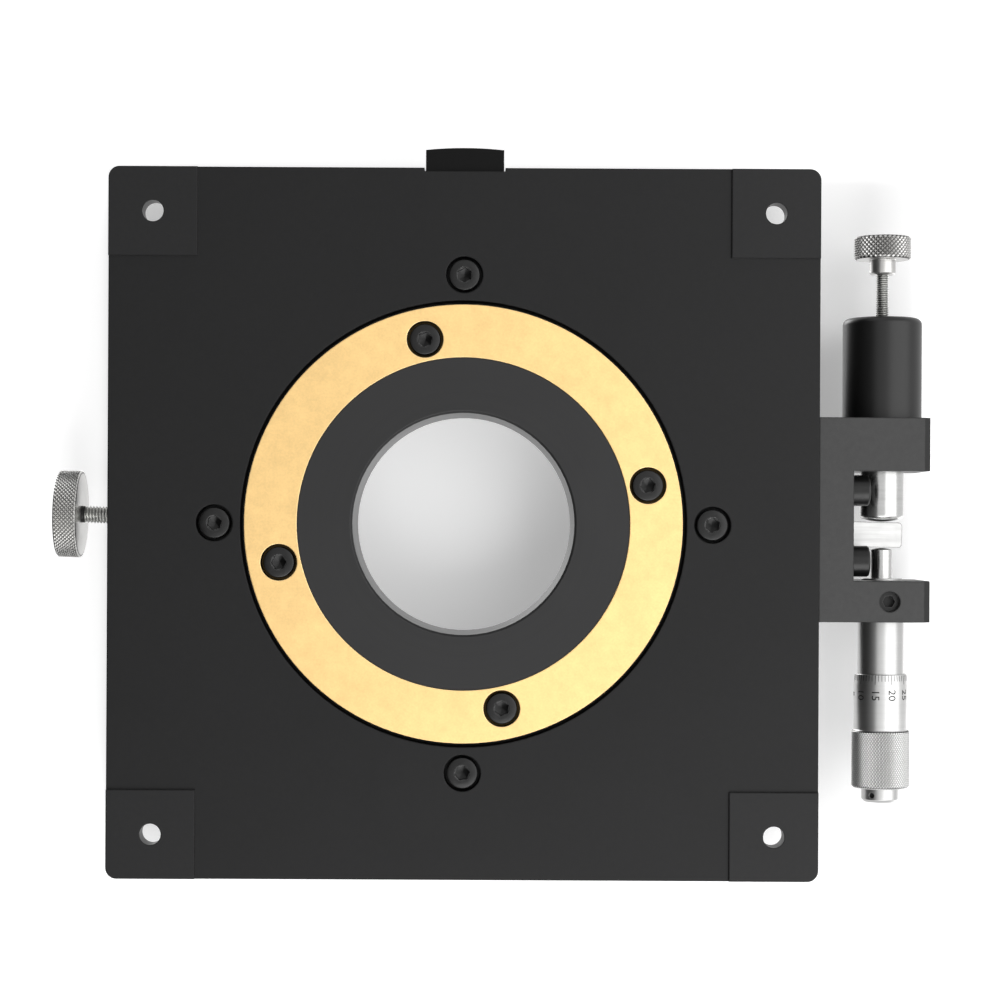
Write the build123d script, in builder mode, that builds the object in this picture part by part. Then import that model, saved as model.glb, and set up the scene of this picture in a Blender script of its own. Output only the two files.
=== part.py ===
from build123d import *
import os
from math import asin, cos, degrees, radians, sin, tan

# Manual rotation stage. The origin is on the axis of rotation, in the plane of
# the base pads. +Z goes up to the rotary table, +X to the micrometer bracket,
# -Y to the vernier block and -X to the lock knob. Sizes are in millimetres.

os.makedirs("parts", exist_ok=True)

# Clearances
RUN_GAP = 0.05  # radial, of a shaft in its bearing
SEAT_GAP = 0.02  # radial, of a spigot or a screw in its seat
AXIAL_GAP = 0.05  # end float of faces that turn on each other
AIR_GAP = 0.3  # pieces that pass without touching
TIP_GAP = 0.12  # a domed tip and the face that it pushes

# Socket head cap screws
M3_R = 1.5
M3_HEAD_R = 2.75
M3_HEAD_H = 3.0
M3_HEX = 2.5
M4_R = 2.0
M4_HEAD_R = 3.5
M4_HEAD_H = 4.0
M4_HEX = 3.0
HEX_DEPTH = 2.0
HEAD_CHAMFER = 0.3
CLEAR_EXTRA = 0.25  # radius of a clearance hole over the screw's
SINK_EXTRA = 0.65  # radius of a counterbore over the head's
HEAD_DROP = 0.15  # depth of a screw head below its face
TAP_EXTRA = 1.5  # depth of a tapped hole past the screw's end

# Radii, from the bore outwards
BORE_R = 25.0
HUB_WALL = 12.4
JOURNAL_STEP = 8.6
RING_LIP = 3.35
OPENING_GAP = 0.9
CLAMP_WALL = 6.0
OPENING_RIM = 5.75  # from the opening to the bearing ring's screws
SCREW_EDGE = 5.0  # from a screw circle to the next face
HOUSING_WALL = 11.0
TABLE_OVERHANG = 3.0
BOSS_R = BORE_R + HUB_WALL
JOURNAL_R = BOSS_R + JOURNAL_STEP
CLAMP_R = JOURNAL_R + CLAMP_WALL
HOUSING_BORE_R = CLAMP_R + 2 * AIR_GAP
RING_PCR = BOSS_R + SCREW_EDGE
RING_R = JOURNAL_R + RING_LIP
OPENING_R = RING_R + OPENING_GAP
BEARING_PCR = OPENING_R + OPENING_RIM
BEARING_R = BEARING_PCR + SCREW_EDGE
HOUSING_PCR = BEARING_R + SCREW_EDGE
HOUSING_R = HOUSING_PCR + HOUSING_WALL
TABLE_R = HOUSING_R + TABLE_OVERHANG

# Base plate, as wide as the table
PLATE = 2 * TABLE_R
PLATE_CORNER_R = 2.5
PLATE_T = 9.4
PLATE_CHAMFER = 0.4
PAD = 20.0
PAD_H = 0.6
FIX_PITCH = PLATE - PAD
FIX_HOLE_R = 2.4
FIX_SINK_R = 4.0
FIX_SINK_DEPTH = 4.6
BASE_TOP = PAD_H + PLATE_T
EDGE = PLATE / 2

# Bearing ring, let into the top of the base plate
BEARING_T = 3.7
BEARING_Z = BASE_TOP - BEARING_T
BEARING_SCREW_SEAT = PAD_H + M4_HEAD_H + HEAD_DROP
BEARING_SCREW_L = BASE_TOP - AIR_GAP - BEARING_SCREW_SEAT

# Fixed housing ring between base and table, and the washer on it
HOUSING_T = 9.2
HOUSING_SCREW_L = 12.0
WASHER_T = 0.75
WASHER_INNER_R = HOUSING_PCR - 2 * TABLE_OVERHANG
WASHER_OUTER_R = HOUSING_R - TABLE_OVERHANG
HOUSING_TOP = BASE_TOP + HOUSING_T
HOUSING_SCREW_SEAT = HOUSING_TOP - M4_HEAD_H - HEAD_DROP
HOUSING_TAP = BASE_TOP - HOUSING_SCREW_SEAT + HOUSING_SCREW_L + TAP_EXTRA / 2

# Rotor: table and hub are one turned piece
BORE_CHAMFER = 0.5
BOSS_Z = 1.2
TABLE_T = 8.0
BEVEL_W = 5.0
BEVEL_H = 1.2
TABLE_Z = HOUSING_TOP + WASHER_T + AXIAL_GAP
TABLE_TOP = TABLE_Z + TABLE_T

# Tapped holes in the table: M6 on a square, M4 on a circle
GRID = 100.0
GRID_TAP_R = 2.5
GRID_TAP_DEPTH = 7.0
CIRCLE_EDGE = 7.0
CIRCLE_COUNT = 6
CIRCLE_TAP_R = 1.65
CIRCLE_TAP_DEPTH = 10.0
CIRCLE_PCR = BORE_R + CIRCLE_EDGE

# Brass retaining ring, screwed to the hub from below
RING_Z = 1.0
RING_GAP = 0.1
RING_TURN = -12.0
RING_SCREW_L = 12.0
RING_TOP = BEARING_Z - AXIAL_GAP
RING_SCREW_SEAT = RING_Z + M4_HEAD_H + HEAD_DROP
RING_TAP = RING_SCREW_SEAT + RING_SCREW_L + TAP_EXTRA - RING_TOP

# Fine drive: clamp ring round the hub, with the drive arm
DRIVE_TURN = 1.2  # degrees that the arm stands off the X axis at rest
DRIVE_SWING = 3.2  # degrees that it swings each way
DRIVE_Z = 13.0  # height of the micrometer, plunger and lock screw
CLAMP_H = 7.0
ARM_BOSS_L = 8.0
ARM_BOSS_W = 9.0
LOCK_BOSS_L = 6.0
LOCK_BOSS_W = 8.0
CLAMP_Z = BASE_TOP + AIR_GAP
CLAMP_TOP = CLAMP_Z + CLAMP_H
ARM_BOSS_REACH = CLAMP_R + ARM_BOSS_L
LOCK_BOSS_REACH = CLAMP_R + LOCK_BOSS_L
WINDOW_SIDE_GAP = 0.5
FULL_SWING = radians(DRIVE_TURN + DRIVE_SWING)
WINDOW_W = ARM_BOSS_W + 2 * (ARM_BOSS_REACH * sin(FULL_SWING) + WINDOW_SIDE_GAP)
WINDOW_TOP = CLAMP_TOP + 2 * AIR_GAP

# Micrometer bracket: two arms on a web that is low enough for the drive arm
DRIVE_OUT = 16.0  # from the plate's edge to the micrometer's axis
WEB_T = 7.8
WEB_DROP = 0.4
BRACKET_Z = 1.0
BRACKET_TOP = 22.5
BRACKET_WALL = 9.2
BRACKET_CHAMFER = 1.5
GAP_HALF = 12.4
UPPER_ARM_T = 12.0
LOWER_ARM_T = 9.3
BRACKET_SCREW_EDGE = 4.4
BRACKET_SCREW_Z = 5.2
BRACKET_SCREW_L = 18.0
DRIVE_X = EDGE + DRIVE_OUT
BRACKET_REACH = DRIVE_OUT + BRACKET_WALL
BRACKET_SCREW_Y = GAP_HALF - BRACKET_SCREW_EDGE
WEB_TOP = BASE_TOP - WEB_DROP
UPPER_FACE = -GAP_HALF - UPPER_ARM_T
LOWER_FACE = GAP_HALF + LOWER_ARM_T
BRACKET_TAP = BRACKET_SCREW_L - WEB_T + TAP_EXTRA

# Drive arm: a thin root screwed down on the clamp ring, full height outside
ARM_W = 5.8
ARM_ROOT_L = 12.0
ARM_ROOT_H = 4.0
ARM_OVERHANG = 4.3
ARM_CORNER_R = 0.8
ARM_SCREW_EDGE = 3.4
ARM_SCREW_PITCH = 6.0
ARM_SCREW_HEAD_R = 2.55
ARM_SEAT = CLAMP_TOP - ARM_ROOT_H
ARM_ROOT = ARM_BOSS_REACH - ARM_ROOT_L
ARM_END = DRIVE_X + ARM_OVERHANG
ARM_OUTER_SCREW = ARM_BOSS_REACH - ARM_SCREW_EDGE
ARM_INNER_SCREW = ARM_OUTER_SCREW - ARM_SCREW_PITCH

# Where the arm's two faces cross the micrometer's axis at rest
ARM_MIDDLE = DRIVE_X * tan(radians(DRIVE_TURN))
ARM_HALF = ARM_W / 2 / cos(radians(DRIVE_TURN))
MICROMETER_TRAVEL = 5.4  # each way from rest

# Spring housing on the bracket's -Y face, with plunger and preload screw
CAN_R = 9.0
CAN_L = 23.2
CAN_BORE_R = 6.3
CAN_END_T = 3.0
CAN_RIM_R = 1.5
SPIGOT_R = 7.5
SPIGOT_L = 4.0
CAN_END = UPPER_FACE - CAN_L
CAN_FLOOR = CAN_END + CAN_END_T
SPIGOT_END = UPPER_FACE + SPIGOT_L
PLUNGER_R = 5.0
PLUNGER_DOME_R = 15.0
PLUNGER_RIM_R = 0.8
PLUNGER_TIP = ARM_MIDDLE - ARM_HALF - TIP_GAP
COLLAR_GAP = 0.1
COLLAR_T = 2.1
COLLAR_BEHIND = 3.5
COLLAR_R = CAN_BORE_R - COLLAR_GAP
COLLAR_FRONT = UPPER_FACE - COLLAR_BEHIND
COLLAR_BACK = COLLAR_FRONT - COLLAR_T
SEAT_R = 6.0
SEAT_T = 1.5
PRELOAD_TRAVEL = 2.6
SEAT_BACK = CAN_FLOOR + PRELOAD_TRAVEL
SEAT_FRONT = SEAT_BACK + SEAT_T
SPRING_WIRE_R = 0.4
SPRING_MEAN_R = 5.0
SPRING_TURNS = 4

# Preload screw and its thumb knob
PRELOAD_SHOWN = 10.1
PRELOAD_HUB_R = 3.0
PRELOAD_HUB_L = 3.5
PRELOAD_KNOB_R = 6.5
PRELOAD_KNOB_L = 5.1
PRELOAD_GRIP = 5.0
KNOB_CHAMFER = 0.6
PRELOAD_NECK = CAN_END - PRELOAD_SHOWN

# Micrometer head on the bracket's +Y arm
STEM_R = 4.75
STEM_PROUD = 0.4
SLEEVE_R = 5.25
SLEEVE_SHOWN = 12.2
SPINDLE_R = 2.5
SPINDLE_DOME_R = 8.0
SPINDLE_TIP = ARM_MIDDLE + ARM_HALF + TIP_GAP
THIMBLE_GAP = 0.1
THIMBLE_R = 6.1
THIMBLE_L = 12.8
THIMBLE_LIP_R = 5.8
THIMBLE_LIP_L = 2.6
THIMBLE_WALL = 5.4
KNURL_R = 6.6
KNURL_L = 13.3
KNURL_CHAMFER = 0.5
CAP_R = 4.25
CAP_L = 3.2
CAP_HOLE_R = 0.65
CAP_HOLE_DEPTH = 2.0
CAP_HOLE_TURN = 36.0  # degrees from straight down
THIMBLE_START = LOWER_FACE + SLEEVE_SHOWN
KNURL_START = THIMBLE_START + THIMBLE_L
THIMBLE_END = KNURL_START + KNURL_L
THIMBLE_FLOOR = THIMBLE_END - THIMBLE_WALL
SLEEVE_END = THIMBLE_FLOOR - MICROMETER_TRAVEL - 4 * AIR_GAP
SPINDLE_END = THIMBLE_END - 2 * AIR_GAP

# Set screw under the bracket that clamps the micrometer
SET_SCREW_R = 2.3
SET_SCREW_DROP = 1.6
SET_SCREW_HEX = 2.5
SET_SCREW_Y = GAP_HALF + LOWER_ARM_T / 2

# Lock screw with its brass pad and knob, on the -X side
PAD_R = 1.95
PAD_L = 2.5
PAD_GAP = 0.35
LOCK_SHOWN = 7.7
LOCK_KNOB_R = 10.0
LOCK_KNOB_L = 5.2
LOCK_GRIP = 3.0
PAD_FRONT = JOURNAL_R + PAD_GAP
PAD_BACK = PAD_FRONT + PAD_L
LOCK_NECK = EDGE + LOCK_SHOWN

# Vernier block on the -Y edge
VERNIER_W = 17.6
VERNIER_T = 4.2
VERNIER_GAP = 0.4
VERNIER_NOTCH = 0.75
VERNIER_Z = 1.5
VERNIER_SCREW_X = 5.0
VERNIER_SCREW_Z = 5.5
VERNIER_GRIP = 5.8
VERNIER_SINK = M3_HEAD_H + HEAD_DROP
VERNIER_INNER_R = TABLE_R + VERNIER_GAP
VERNIER_R = VERNIER_INNER_R + VERNIER_T
VERNIER_TOP = TABLE_TOP - BEVEL_H
VERNIER_SEAT = EDGE - VERNIER_NOTCH
VERNIER_SCREW_L = VERNIER_R - VERNIER_SINK - VERNIER_SEAT + VERNIER_GRIP
VERNIER_TAP = VERNIER_GRIP + TAP_EXTRA

# Planes and axes that pieces share
FROM_LEFT = (Align.MIN, Align.CENTER)
FROM_RIGHT = (Align.MAX, Align.CENTER)
underside = Plane((0, 0, PAD_H), x_dir=(1, 0, 0), z_dir=(0, 0, -1))
plate_side = Plane((EDGE, 0, BRACKET_SCREW_Z), x_dir=(0, 1, 0), z_dir=(1, 0, 0))
web_side = plate_side.offset(WEB_T)
vernier_side = Plane((0, -VERNIER_R, VERNIER_SCREW_Z), x_dir=(1, 0, 0), z_dir=(0, -1, 0))
vernier_seats = Plane((0, VERNIER_SINK - VERNIER_R, VERNIER_SCREW_Z), x_dir=(1, 0, 0), z_dir=(0, 1, 0))
drive_plane = Plane((DRIVE_X, 0, DRIVE_Z))
drive_axis = Axis((DRIVE_X, 0, DRIVE_Z), (0, 1, 0))
drive_section = Plane((DRIVE_X, 0, DRIVE_Z), x_dir=(1, 0, 0), z_dir=(0, 1, 0))
swung = Plane.XY.rotated((0, 0, DRIVE_TURN))
lock_plane = Plane((0, 0, DRIVE_Z), x_dir=swung.y_dir, z_dir=(0, 0, 1))
lock_axis = Axis((0, 0, DRIVE_Z), lock_plane.y_dir)
lock_section = Plane((0, 0, DRIVE_Z), x_dir=(0, 0, 1), z_dir=lock_plane.y_dir)


def cap_screw(shank_r, length, head_r, head_h, hexagon):
    """Cap screw that points along +Z, with the seat of its head at z = 0."""
    with BuildPart() as screw:
        with BuildSketch(Plane.XY.offset(-head_h)):
            Circle(head_r)
        extrude(amount=head_h)
        chamfer(screw.edges().sort_by(Axis.Z)[0], HEAD_CHAMFER)
        with BuildSketch():
            Circle(shank_r)
        extrude(amount=length)
        with BuildSketch(Plane.XY.offset(-head_h)):
            RegularPolygon(hexagon / 2, 6, major_radius=False)
        extrude(amount=HEX_DEPTH, mode=Mode.SUBTRACT)
    return screw.part


def finish(sub_part, name):
    """Label a finished sub-part and write its file."""
    sub_part.part.label = name
    export_step(sub_part.part, "parts/" + name + ".step")


# Base plate: square, with raised corner pads and the round opening for the ring
with BuildPart() as base_plate:
    with BuildSketch(Plane.XY.offset(PAD_H)):
        RectangleRounded(PLATE, PLATE, PLATE_CORNER_R)
    extrude(amount=PLATE_T)
    chamfer(base_plate.faces().sort_by(Axis.Z)[-1].edges(), PLATE_CHAMFER)
    with BuildSketch():
        RectangleRounded(PLATE, PLATE, PLATE_CORNER_R)
        Rectangle(PLATE, PLATE - 2 * PAD, mode=Mode.SUBTRACT)
        Rectangle(PLATE - 2 * PAD, PLATE, mode=Mode.SUBTRACT)
    extrude(amount=PAD_H)
    with BuildSketch():
        with Locations((0, -EDGE)):
            Rectangle(VERNIER_W + 2 * AIR_GAP, 2 * VERNIER_NOTCH)
    extrude(amount=BASE_TOP, mode=Mode.SUBTRACT)
    with Locations(Plane.XY.offset(BASE_TOP)):
        CounterBoreHole(OPENING_R, BEARING_R + SEAT_GAP, BEARING_T)
        with GridLocations(FIX_PITCH, FIX_PITCH, 2, 2):
            CounterBoreHole(FIX_HOLE_R, FIX_SINK_R, FIX_SINK_DEPTH)
        with PolarLocations(HOUSING_PCR, 4, start_angle=45):
            Hole(M4_R + SEAT_GAP, depth=HOUSING_TAP)
    with Locations(underside):
        with PolarLocations(BEARING_PCR, 4):
            CounterBoreHole(M4_R + CLEAR_EXTRA, M4_HEAD_R + SINK_EXTRA, M4_HEAD_H + HEAD_DROP)
    with Locations(plate_side):
        with Locations((-BRACKET_SCREW_Y, 0), (BRACKET_SCREW_Y, 0)):
            Hole(M4_R + SEAT_GAP, depth=BRACKET_TAP)
    with Locations(vernier_side.offset(VERNIER_SEAT - VERNIER_R)):
        with Locations((-VERNIER_SCREW_X, 0), (VERNIER_SCREW_X, 0)):
            Hole(M3_R + SEAT_GAP, depth=VERNIER_TAP)
finish(base_plate, "base_plate")

# Bearing ring: the hub turns in it, the base screws hold it
with BuildPart() as bearing_ring:
    with BuildSketch(Plane.XY.offset(BEARING_Z)):
        Circle(BEARING_R)
        Circle(JOURNAL_R + RUN_GAP, mode=Mode.SUBTRACT)
        with PolarLocations(BEARING_PCR, 4):
            Circle(M4_R + SEAT_GAP, mode=Mode.SUBTRACT)
    extrude(amount=BEARING_T)
finish(bearing_ring, "bearing_ring")

# Four cap screws from below into the bearing ring
bearing_screw = cap_screw(M4_R, BEARING_SCREW_L, M4_HEAD_R, M4_HEAD_H, M4_HEX)
with BuildPart(Plane.XY.offset(BEARING_SCREW_SEAT)) as bearing_screws:
    with PolarLocations(BEARING_PCR, 4):
        add(bearing_screw)
finish(bearing_screws, "bearing_screws")

# Housing ring, with windows for the drive arm and the lock screw
with BuildPart() as housing_ring:
    with BuildSketch(Plane.XY.offset(BASE_TOP)):
        Circle(HOUSING_R)
        Circle(HOUSING_BORE_R, mode=Mode.SUBTRACT)
    extrude(amount=HOUSING_T)
    with BuildSketch(Plane.XY.offset(BASE_TOP)):
        Rectangle(2 * PLATE, WINDOW_W)
    extrude(amount=WINDOW_TOP - BASE_TOP, mode=Mode.SUBTRACT)
    with Locations(Plane.XY.offset(HOUSING_TOP)):
        with PolarLocations(HOUSING_PCR, 4, start_angle=45):
            CounterBoreHole(M4_R + CLEAR_EXTRA, M4_HEAD_R + SINK_EXTRA, M4_HEAD_H + HEAD_DROP)
finish(housing_ring, "housing_ring")

# Four cap screws that hold the housing ring down
housing_screw = cap_screw(M4_R, HOUSING_SCREW_L, M4_HEAD_R, M4_HEAD_H, M4_HEX)
with BuildPart(Plane((0, 0, HOUSING_SCREW_SEAT), z_dir=(0, 0, -1))) as housing_screws:
    with PolarLocations(HOUSING_PCR, 4, start_angle=45):
        add(housing_screw)
finish(housing_screws, "housing_screws")

# Bronze washer that the table turns on
with BuildPart() as thrust_washer:
    with BuildSketch(Plane.XY.offset(HOUSING_TOP)):
        Circle(WASHER_OUTER_R)
        Circle(WASHER_INNER_R, mode=Mode.SUBTRACT)
    extrude(amount=WASHER_T)
finish(thrust_washer, "thrust_washer")

# Rotary table with its hub: turned outline, then the tapped holes
with BuildPart() as rotary_table:
    with BuildSketch(Plane.XZ):
        with BuildLine():
            Polyline(
                (BORE_R, BOSS_Z),
                (BOSS_R, BOSS_Z),
                (BOSS_R, RING_TOP),
                (JOURNAL_R, RING_TOP),
                (JOURNAL_R, TABLE_Z),
                (TABLE_R, TABLE_Z),
                (TABLE_R, TABLE_TOP - BEVEL_H),
                (TABLE_R - BEVEL_W, TABLE_TOP),
                (BORE_R, TABLE_TOP),
                close=True,
            )
        make_face()
    revolve(axis=Axis.Z)
    circles = rotary_table.edges().filter_by(GeomType.CIRCLE)
    chamfer(circles.filter_by(lambda edge: edge.radius < BOSS_R), BORE_CHAMFER)
    with Locations(Plane.XY.offset(TABLE_TOP)):
        with GridLocations(GRID, GRID, 2, 2):
            Hole(GRID_TAP_R, depth=GRID_TAP_DEPTH)
        with PolarLocations(CIRCLE_PCR, CIRCLE_COUNT):
            Hole(CIRCLE_TAP_R, depth=CIRCLE_TAP_DEPTH)
    with BuildSketch(Plane.XY.offset(RING_TOP)):
        with PolarLocations(RING_PCR, 4, start_angle=RING_TURN):
            Circle(M4_R + SEAT_GAP)
    extrude(amount=RING_TAP, mode=Mode.SUBTRACT)
finish(rotary_table, "rotary_table")

# Brass ring that keeps the hub in its bearing
with BuildPart() as retaining_ring:
    with BuildSketch(Plane.XY.offset(RING_Z)):
        Circle(RING_R)
        Circle(BOSS_R + RING_GAP, mode=Mode.SUBTRACT)
    extrude(amount=RING_TOP - RING_Z)
    with Locations(Plane((0, 0, RING_Z), x_dir=(1, 0, 0), z_dir=(0, 0, -1))):
        with PolarLocations(RING_PCR, 4, start_angle=-RING_TURN):
            CounterBoreHole(M4_R + CLEAR_EXTRA, M4_HEAD_R + SINK_EXTRA, M4_HEAD_H + HEAD_DROP)
finish(retaining_ring, "retaining_ring")

# Four cap screws from below through the brass ring into the hub
ring_screw = cap_screw(M4_R, RING_SCREW_L, M4_HEAD_R, M4_HEAD_H, M4_HEX)
with BuildPart(Plane.XY.offset(RING_SCREW_SEAT)) as ring_screws:
    with PolarLocations(RING_PCR, 4, start_angle=RING_TURN):
        add(ring_screw)
finish(ring_screws, "ring_screws")

# Clamp ring: grips the hub, carries the drive arm and the lock screw
with BuildPart() as clamp_ring:
    with BuildSketch(swung.offset(CLAMP_Z)):
        Circle(CLAMP_R)
        Rectangle(ARM_BOSS_REACH, ARM_BOSS_W, align=FROM_LEFT)
        Rectangle(LOCK_BOSS_REACH, LOCK_BOSS_W, align=FROM_RIGHT)
        Circle(JOURNAL_R + RUN_GAP, mode=Mode.SUBTRACT)
    extrude(amount=CLAMP_H)
    with BuildSketch(swung.offset(ARM_SEAT)):
        with Locations((ARM_ROOT - SEAT_GAP, 0)):
            Rectangle(ARM_BOSS_REACH, ARM_W + 2 * SEAT_GAP, align=FROM_LEFT)
    extrude(amount=ARM_ROOT_H, mode=Mode.SUBTRACT)
    with BuildSketch(swung.offset(CLAMP_Z)):
        with Locations((ARM_INNER_SCREW, 0), (ARM_OUTER_SCREW, 0)):
            Circle(M3_R + SEAT_GAP)
    extrude(amount=CLAMP_H, mode=Mode.SUBTRACT)
    with BuildSketch(lock_section):
        Circle(M4_R + RUN_GAP)
    extrude(amount=LOCK_BOSS_REACH, mode=Mode.SUBTRACT)
finish(clamp_ring, "clamp_ring")

# Drive arm: bar from the clamp ring out between plunger and spindle
with BuildPart() as drive_arm:
    with BuildSketch(swung.offset(ARM_SEAT)):
        with Locations((ARM_ROOT, 0)):
            Rectangle(ARM_END - ARM_ROOT, ARM_W, align=FROM_LEFT)
    extrude(amount=ARM_ROOT_H)
    with BuildSketch(swung.offset(CLAMP_Z)):
        with Locations((ARM_BOSS_REACH + SEAT_GAP, 0)):
            Rectangle(ARM_END - ARM_BOSS_REACH - SEAT_GAP, ARM_W, align=FROM_LEFT)
    extrude(amount=CLAMP_H - ARM_ROOT_H)
    fillet(drive_arm.edges().filter_by(Axis.Z).sort_by(Axis.X)[-2:], ARM_CORNER_R)
    with Locations(swung.offset(CLAMP_TOP)):
        with Locations((ARM_INNER_SCREW, 0), (ARM_OUTER_SCREW, 0)):
            CounterSinkHole(M3_R + SEAT_GAP, ARM_SCREW_HEAD_R + SEAT_GAP, counter_sink_angle=90)
finish(drive_arm, "drive_arm")

# Two countersunk screws that hold the arm down
with BuildPart() as flat_screw:
    with BuildSketch(Plane.XZ):
        with BuildLine():
            Polyline(
                (0, 0),
                (ARM_SCREW_HEAD_R, 0),
                (M3_R, M3_R - ARM_SCREW_HEAD_R),
                (M3_R, AIR_GAP - CLAMP_H),
                (0, AIR_GAP - CLAMP_H),
                close=True,
            )
        make_face()
    revolve(axis=Axis.Z)
    with BuildSketch():
        RegularPolygon(M3_HEX / 2, 6, major_radius=False)
    extrude(amount=-M3_R, mode=Mode.SUBTRACT)
with BuildPart(swung.offset(CLAMP_TOP)) as arm_screws:
    with Locations((ARM_INNER_SCREW, 0), (ARM_OUTER_SCREW, 0)):
        add(flat_screw.part)
finish(arm_screws, "arm_screws")

# Bracket: C-shaped, bored for the plunger and the micrometer's stem
with BuildPart() as drive_bracket:
    with BuildSketch(Plane.XY.offset(BRACKET_Z)):
        with Locations((EDGE, UPPER_FACE)):
            Rectangle(BRACKET_REACH, UPPER_ARM_T, align=(Align.MIN, Align.MIN))
        with Locations((EDGE, GAP_HALF)):
            Rectangle(BRACKET_REACH, LOWER_ARM_T, align=(Align.MIN, Align.MIN))
    extrude(amount=BRACKET_TOP - BRACKET_Z)
    with BuildSketch(Plane.XY.offset(BRACKET_Z)):
        with Locations((EDGE, UPPER_FACE)):
            Rectangle(WEB_T, LOWER_FACE - UPPER_FACE, align=(Align.MIN, Align.MIN))
    extrude(amount=WEB_TOP - BRACKET_Z)
    outer_edges = drive_bracket.edges().filter_by(Axis.Y).group_by(Axis.X)[-1]
    chamfer(outer_edges, BRACKET_CHAMFER)
    with BuildSketch(drive_section.offset(UPPER_FACE)):
        Circle(PLUNGER_R + RUN_GAP)
    extrude(amount=UPPER_ARM_T, mode=Mode.SUBTRACT)
    with BuildSketch(drive_section.offset(UPPER_FACE)):
        Circle(SPIGOT_R + SEAT_GAP)
    extrude(amount=SPIGOT_L, mode=Mode.SUBTRACT)
    with BuildSketch(drive_section.offset(GAP_HALF)):
        Circle(STEM_R + SEAT_GAP)
    extrude(amount=LOWER_ARM_T, mode=Mode.SUBTRACT)
    with BuildSketch(Plane((DRIVE_X, SET_SCREW_Y, BRACKET_Z))):
        Circle(SET_SCREW_R + SEAT_GAP)
    extrude(amount=DRIVE_Z - BRACKET_Z, mode=Mode.SUBTRACT)
    with Locations(web_side):
        with Locations((-BRACKET_SCREW_Y, 0), (BRACKET_SCREW_Y, 0)):
            Hole(M4_R + CLEAR_EXTRA, depth=WEB_T)
finish(drive_bracket, "drive_bracket")

# Two cap screws from the bracket's gap into the side of the base
bracket_screw = cap_screw(M4_R, BRACKET_SCREW_L, M4_HEAD_R, M4_HEAD_H, M4_HEX)
with BuildPart(Plane(web_side.origin, x_dir=(0, 1, 0), z_dir=(-1, 0, 0))) as bracket_screws:
    with Locations((-BRACKET_SCREW_Y, 0), (BRACKET_SCREW_Y, 0)):
        add(bracket_screw)
finish(bracket_screws, "bracket_screws")

# Spring housing: closed can with a spigot in the bracket
with BuildPart() as spring_housing:
    with BuildSketch(drive_plane):
        with BuildLine():
            Polyline(
                (CAN_BORE_R, SPIGOT_END),
                (SPIGOT_R, SPIGOT_END),
                (SPIGOT_R, UPPER_FACE),
                (CAN_R, UPPER_FACE),
                (CAN_R, CAN_END),
                (M3_R + RUN_GAP, CAN_END),
                (M3_R + RUN_GAP, CAN_FLOOR),
                (CAN_BORE_R, CAN_FLOOR),
                close=True,
            )
        make_face()
    revolve(axis=drive_axis)
    end_circles = spring_housing.edges().filter_by(GeomType.CIRCLE).group_by(Axis.Y)[0]
    fillet(end_circles.sort_by(SortBy.RADIUS)[-1], CAN_RIM_R)
finish(spring_housing, "spring_housing")

# Plunger: domed tip on the drive arm, collar inside the housing
with BuildPart() as spring_plunger:
    with BuildSketch(drive_plane):
        with BuildLine():
            tip_arc = CenterArc(
                (0, PLUNGER_TIP - PLUNGER_DOME_R),
                PLUNGER_DOME_R,
                90,
                -degrees(asin(PLUNGER_R / PLUNGER_DOME_R)),
            )
            Polyline(
                tip_arc @ 1,
                (PLUNGER_R, COLLAR_FRONT),
                (COLLAR_R, COLLAR_FRONT),
                (COLLAR_R, COLLAR_BACK),
                (0, COLLAR_BACK),
                tip_arc @ 0,
            )
        make_face()
    revolve(axis=drive_axis)
    circles = spring_plunger.edges().filter_by(GeomType.CIRCLE)
    tip_rim = circles.filter_by(lambda edge: edge.radius < COLLAR_R).sort_by(Axis.Y)[-1]
    fillet(tip_rim, PLUNGER_RIM_R)
finish(spring_plunger, "spring_plunger")

# Compression spring between the plunger's collar and the spring seat
with BuildPart() as plunger_spring:
    with BuildLine():
        spring_height = COLLAR_BACK - SEAT_FRONT - 2 * (SPRING_WIRE_R + AXIAL_GAP)
        coil = Helix(
            pitch=spring_height / SPRING_TURNS,
            height=spring_height,
            radius=SPRING_MEAN_R,
            center=(DRIVE_X, SEAT_FRONT + SPRING_WIRE_R + AXIAL_GAP, DRIVE_Z),
            direction=(0, 1, 0),
        )
    with BuildSketch(Plane(coil @ 0, z_dir=coil % 0)):
        Circle(SPRING_WIRE_R)
    sweep(path=coil)
finish(plunger_spring, "plunger_spring")

# Spring seat, pushed by the preload screw
with BuildPart() as spring_seat:
    with BuildSketch(drive_section.offset(SEAT_BACK)):
        Circle(SEAT_R)
    extrude(amount=SEAT_T)
finish(spring_seat, "spring_seat")

# Preload screw through the end of the housing
with BuildPart() as preload_screw:
    with BuildSketch(drive_section.offset(PRELOAD_NECK - PRELOAD_GRIP)):
        Circle(M3_R)
    extrude(amount=SEAT_BACK - AXIAL_GAP - PRELOAD_NECK + PRELOAD_GRIP)
finish(preload_screw, "preload_screw")

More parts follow.
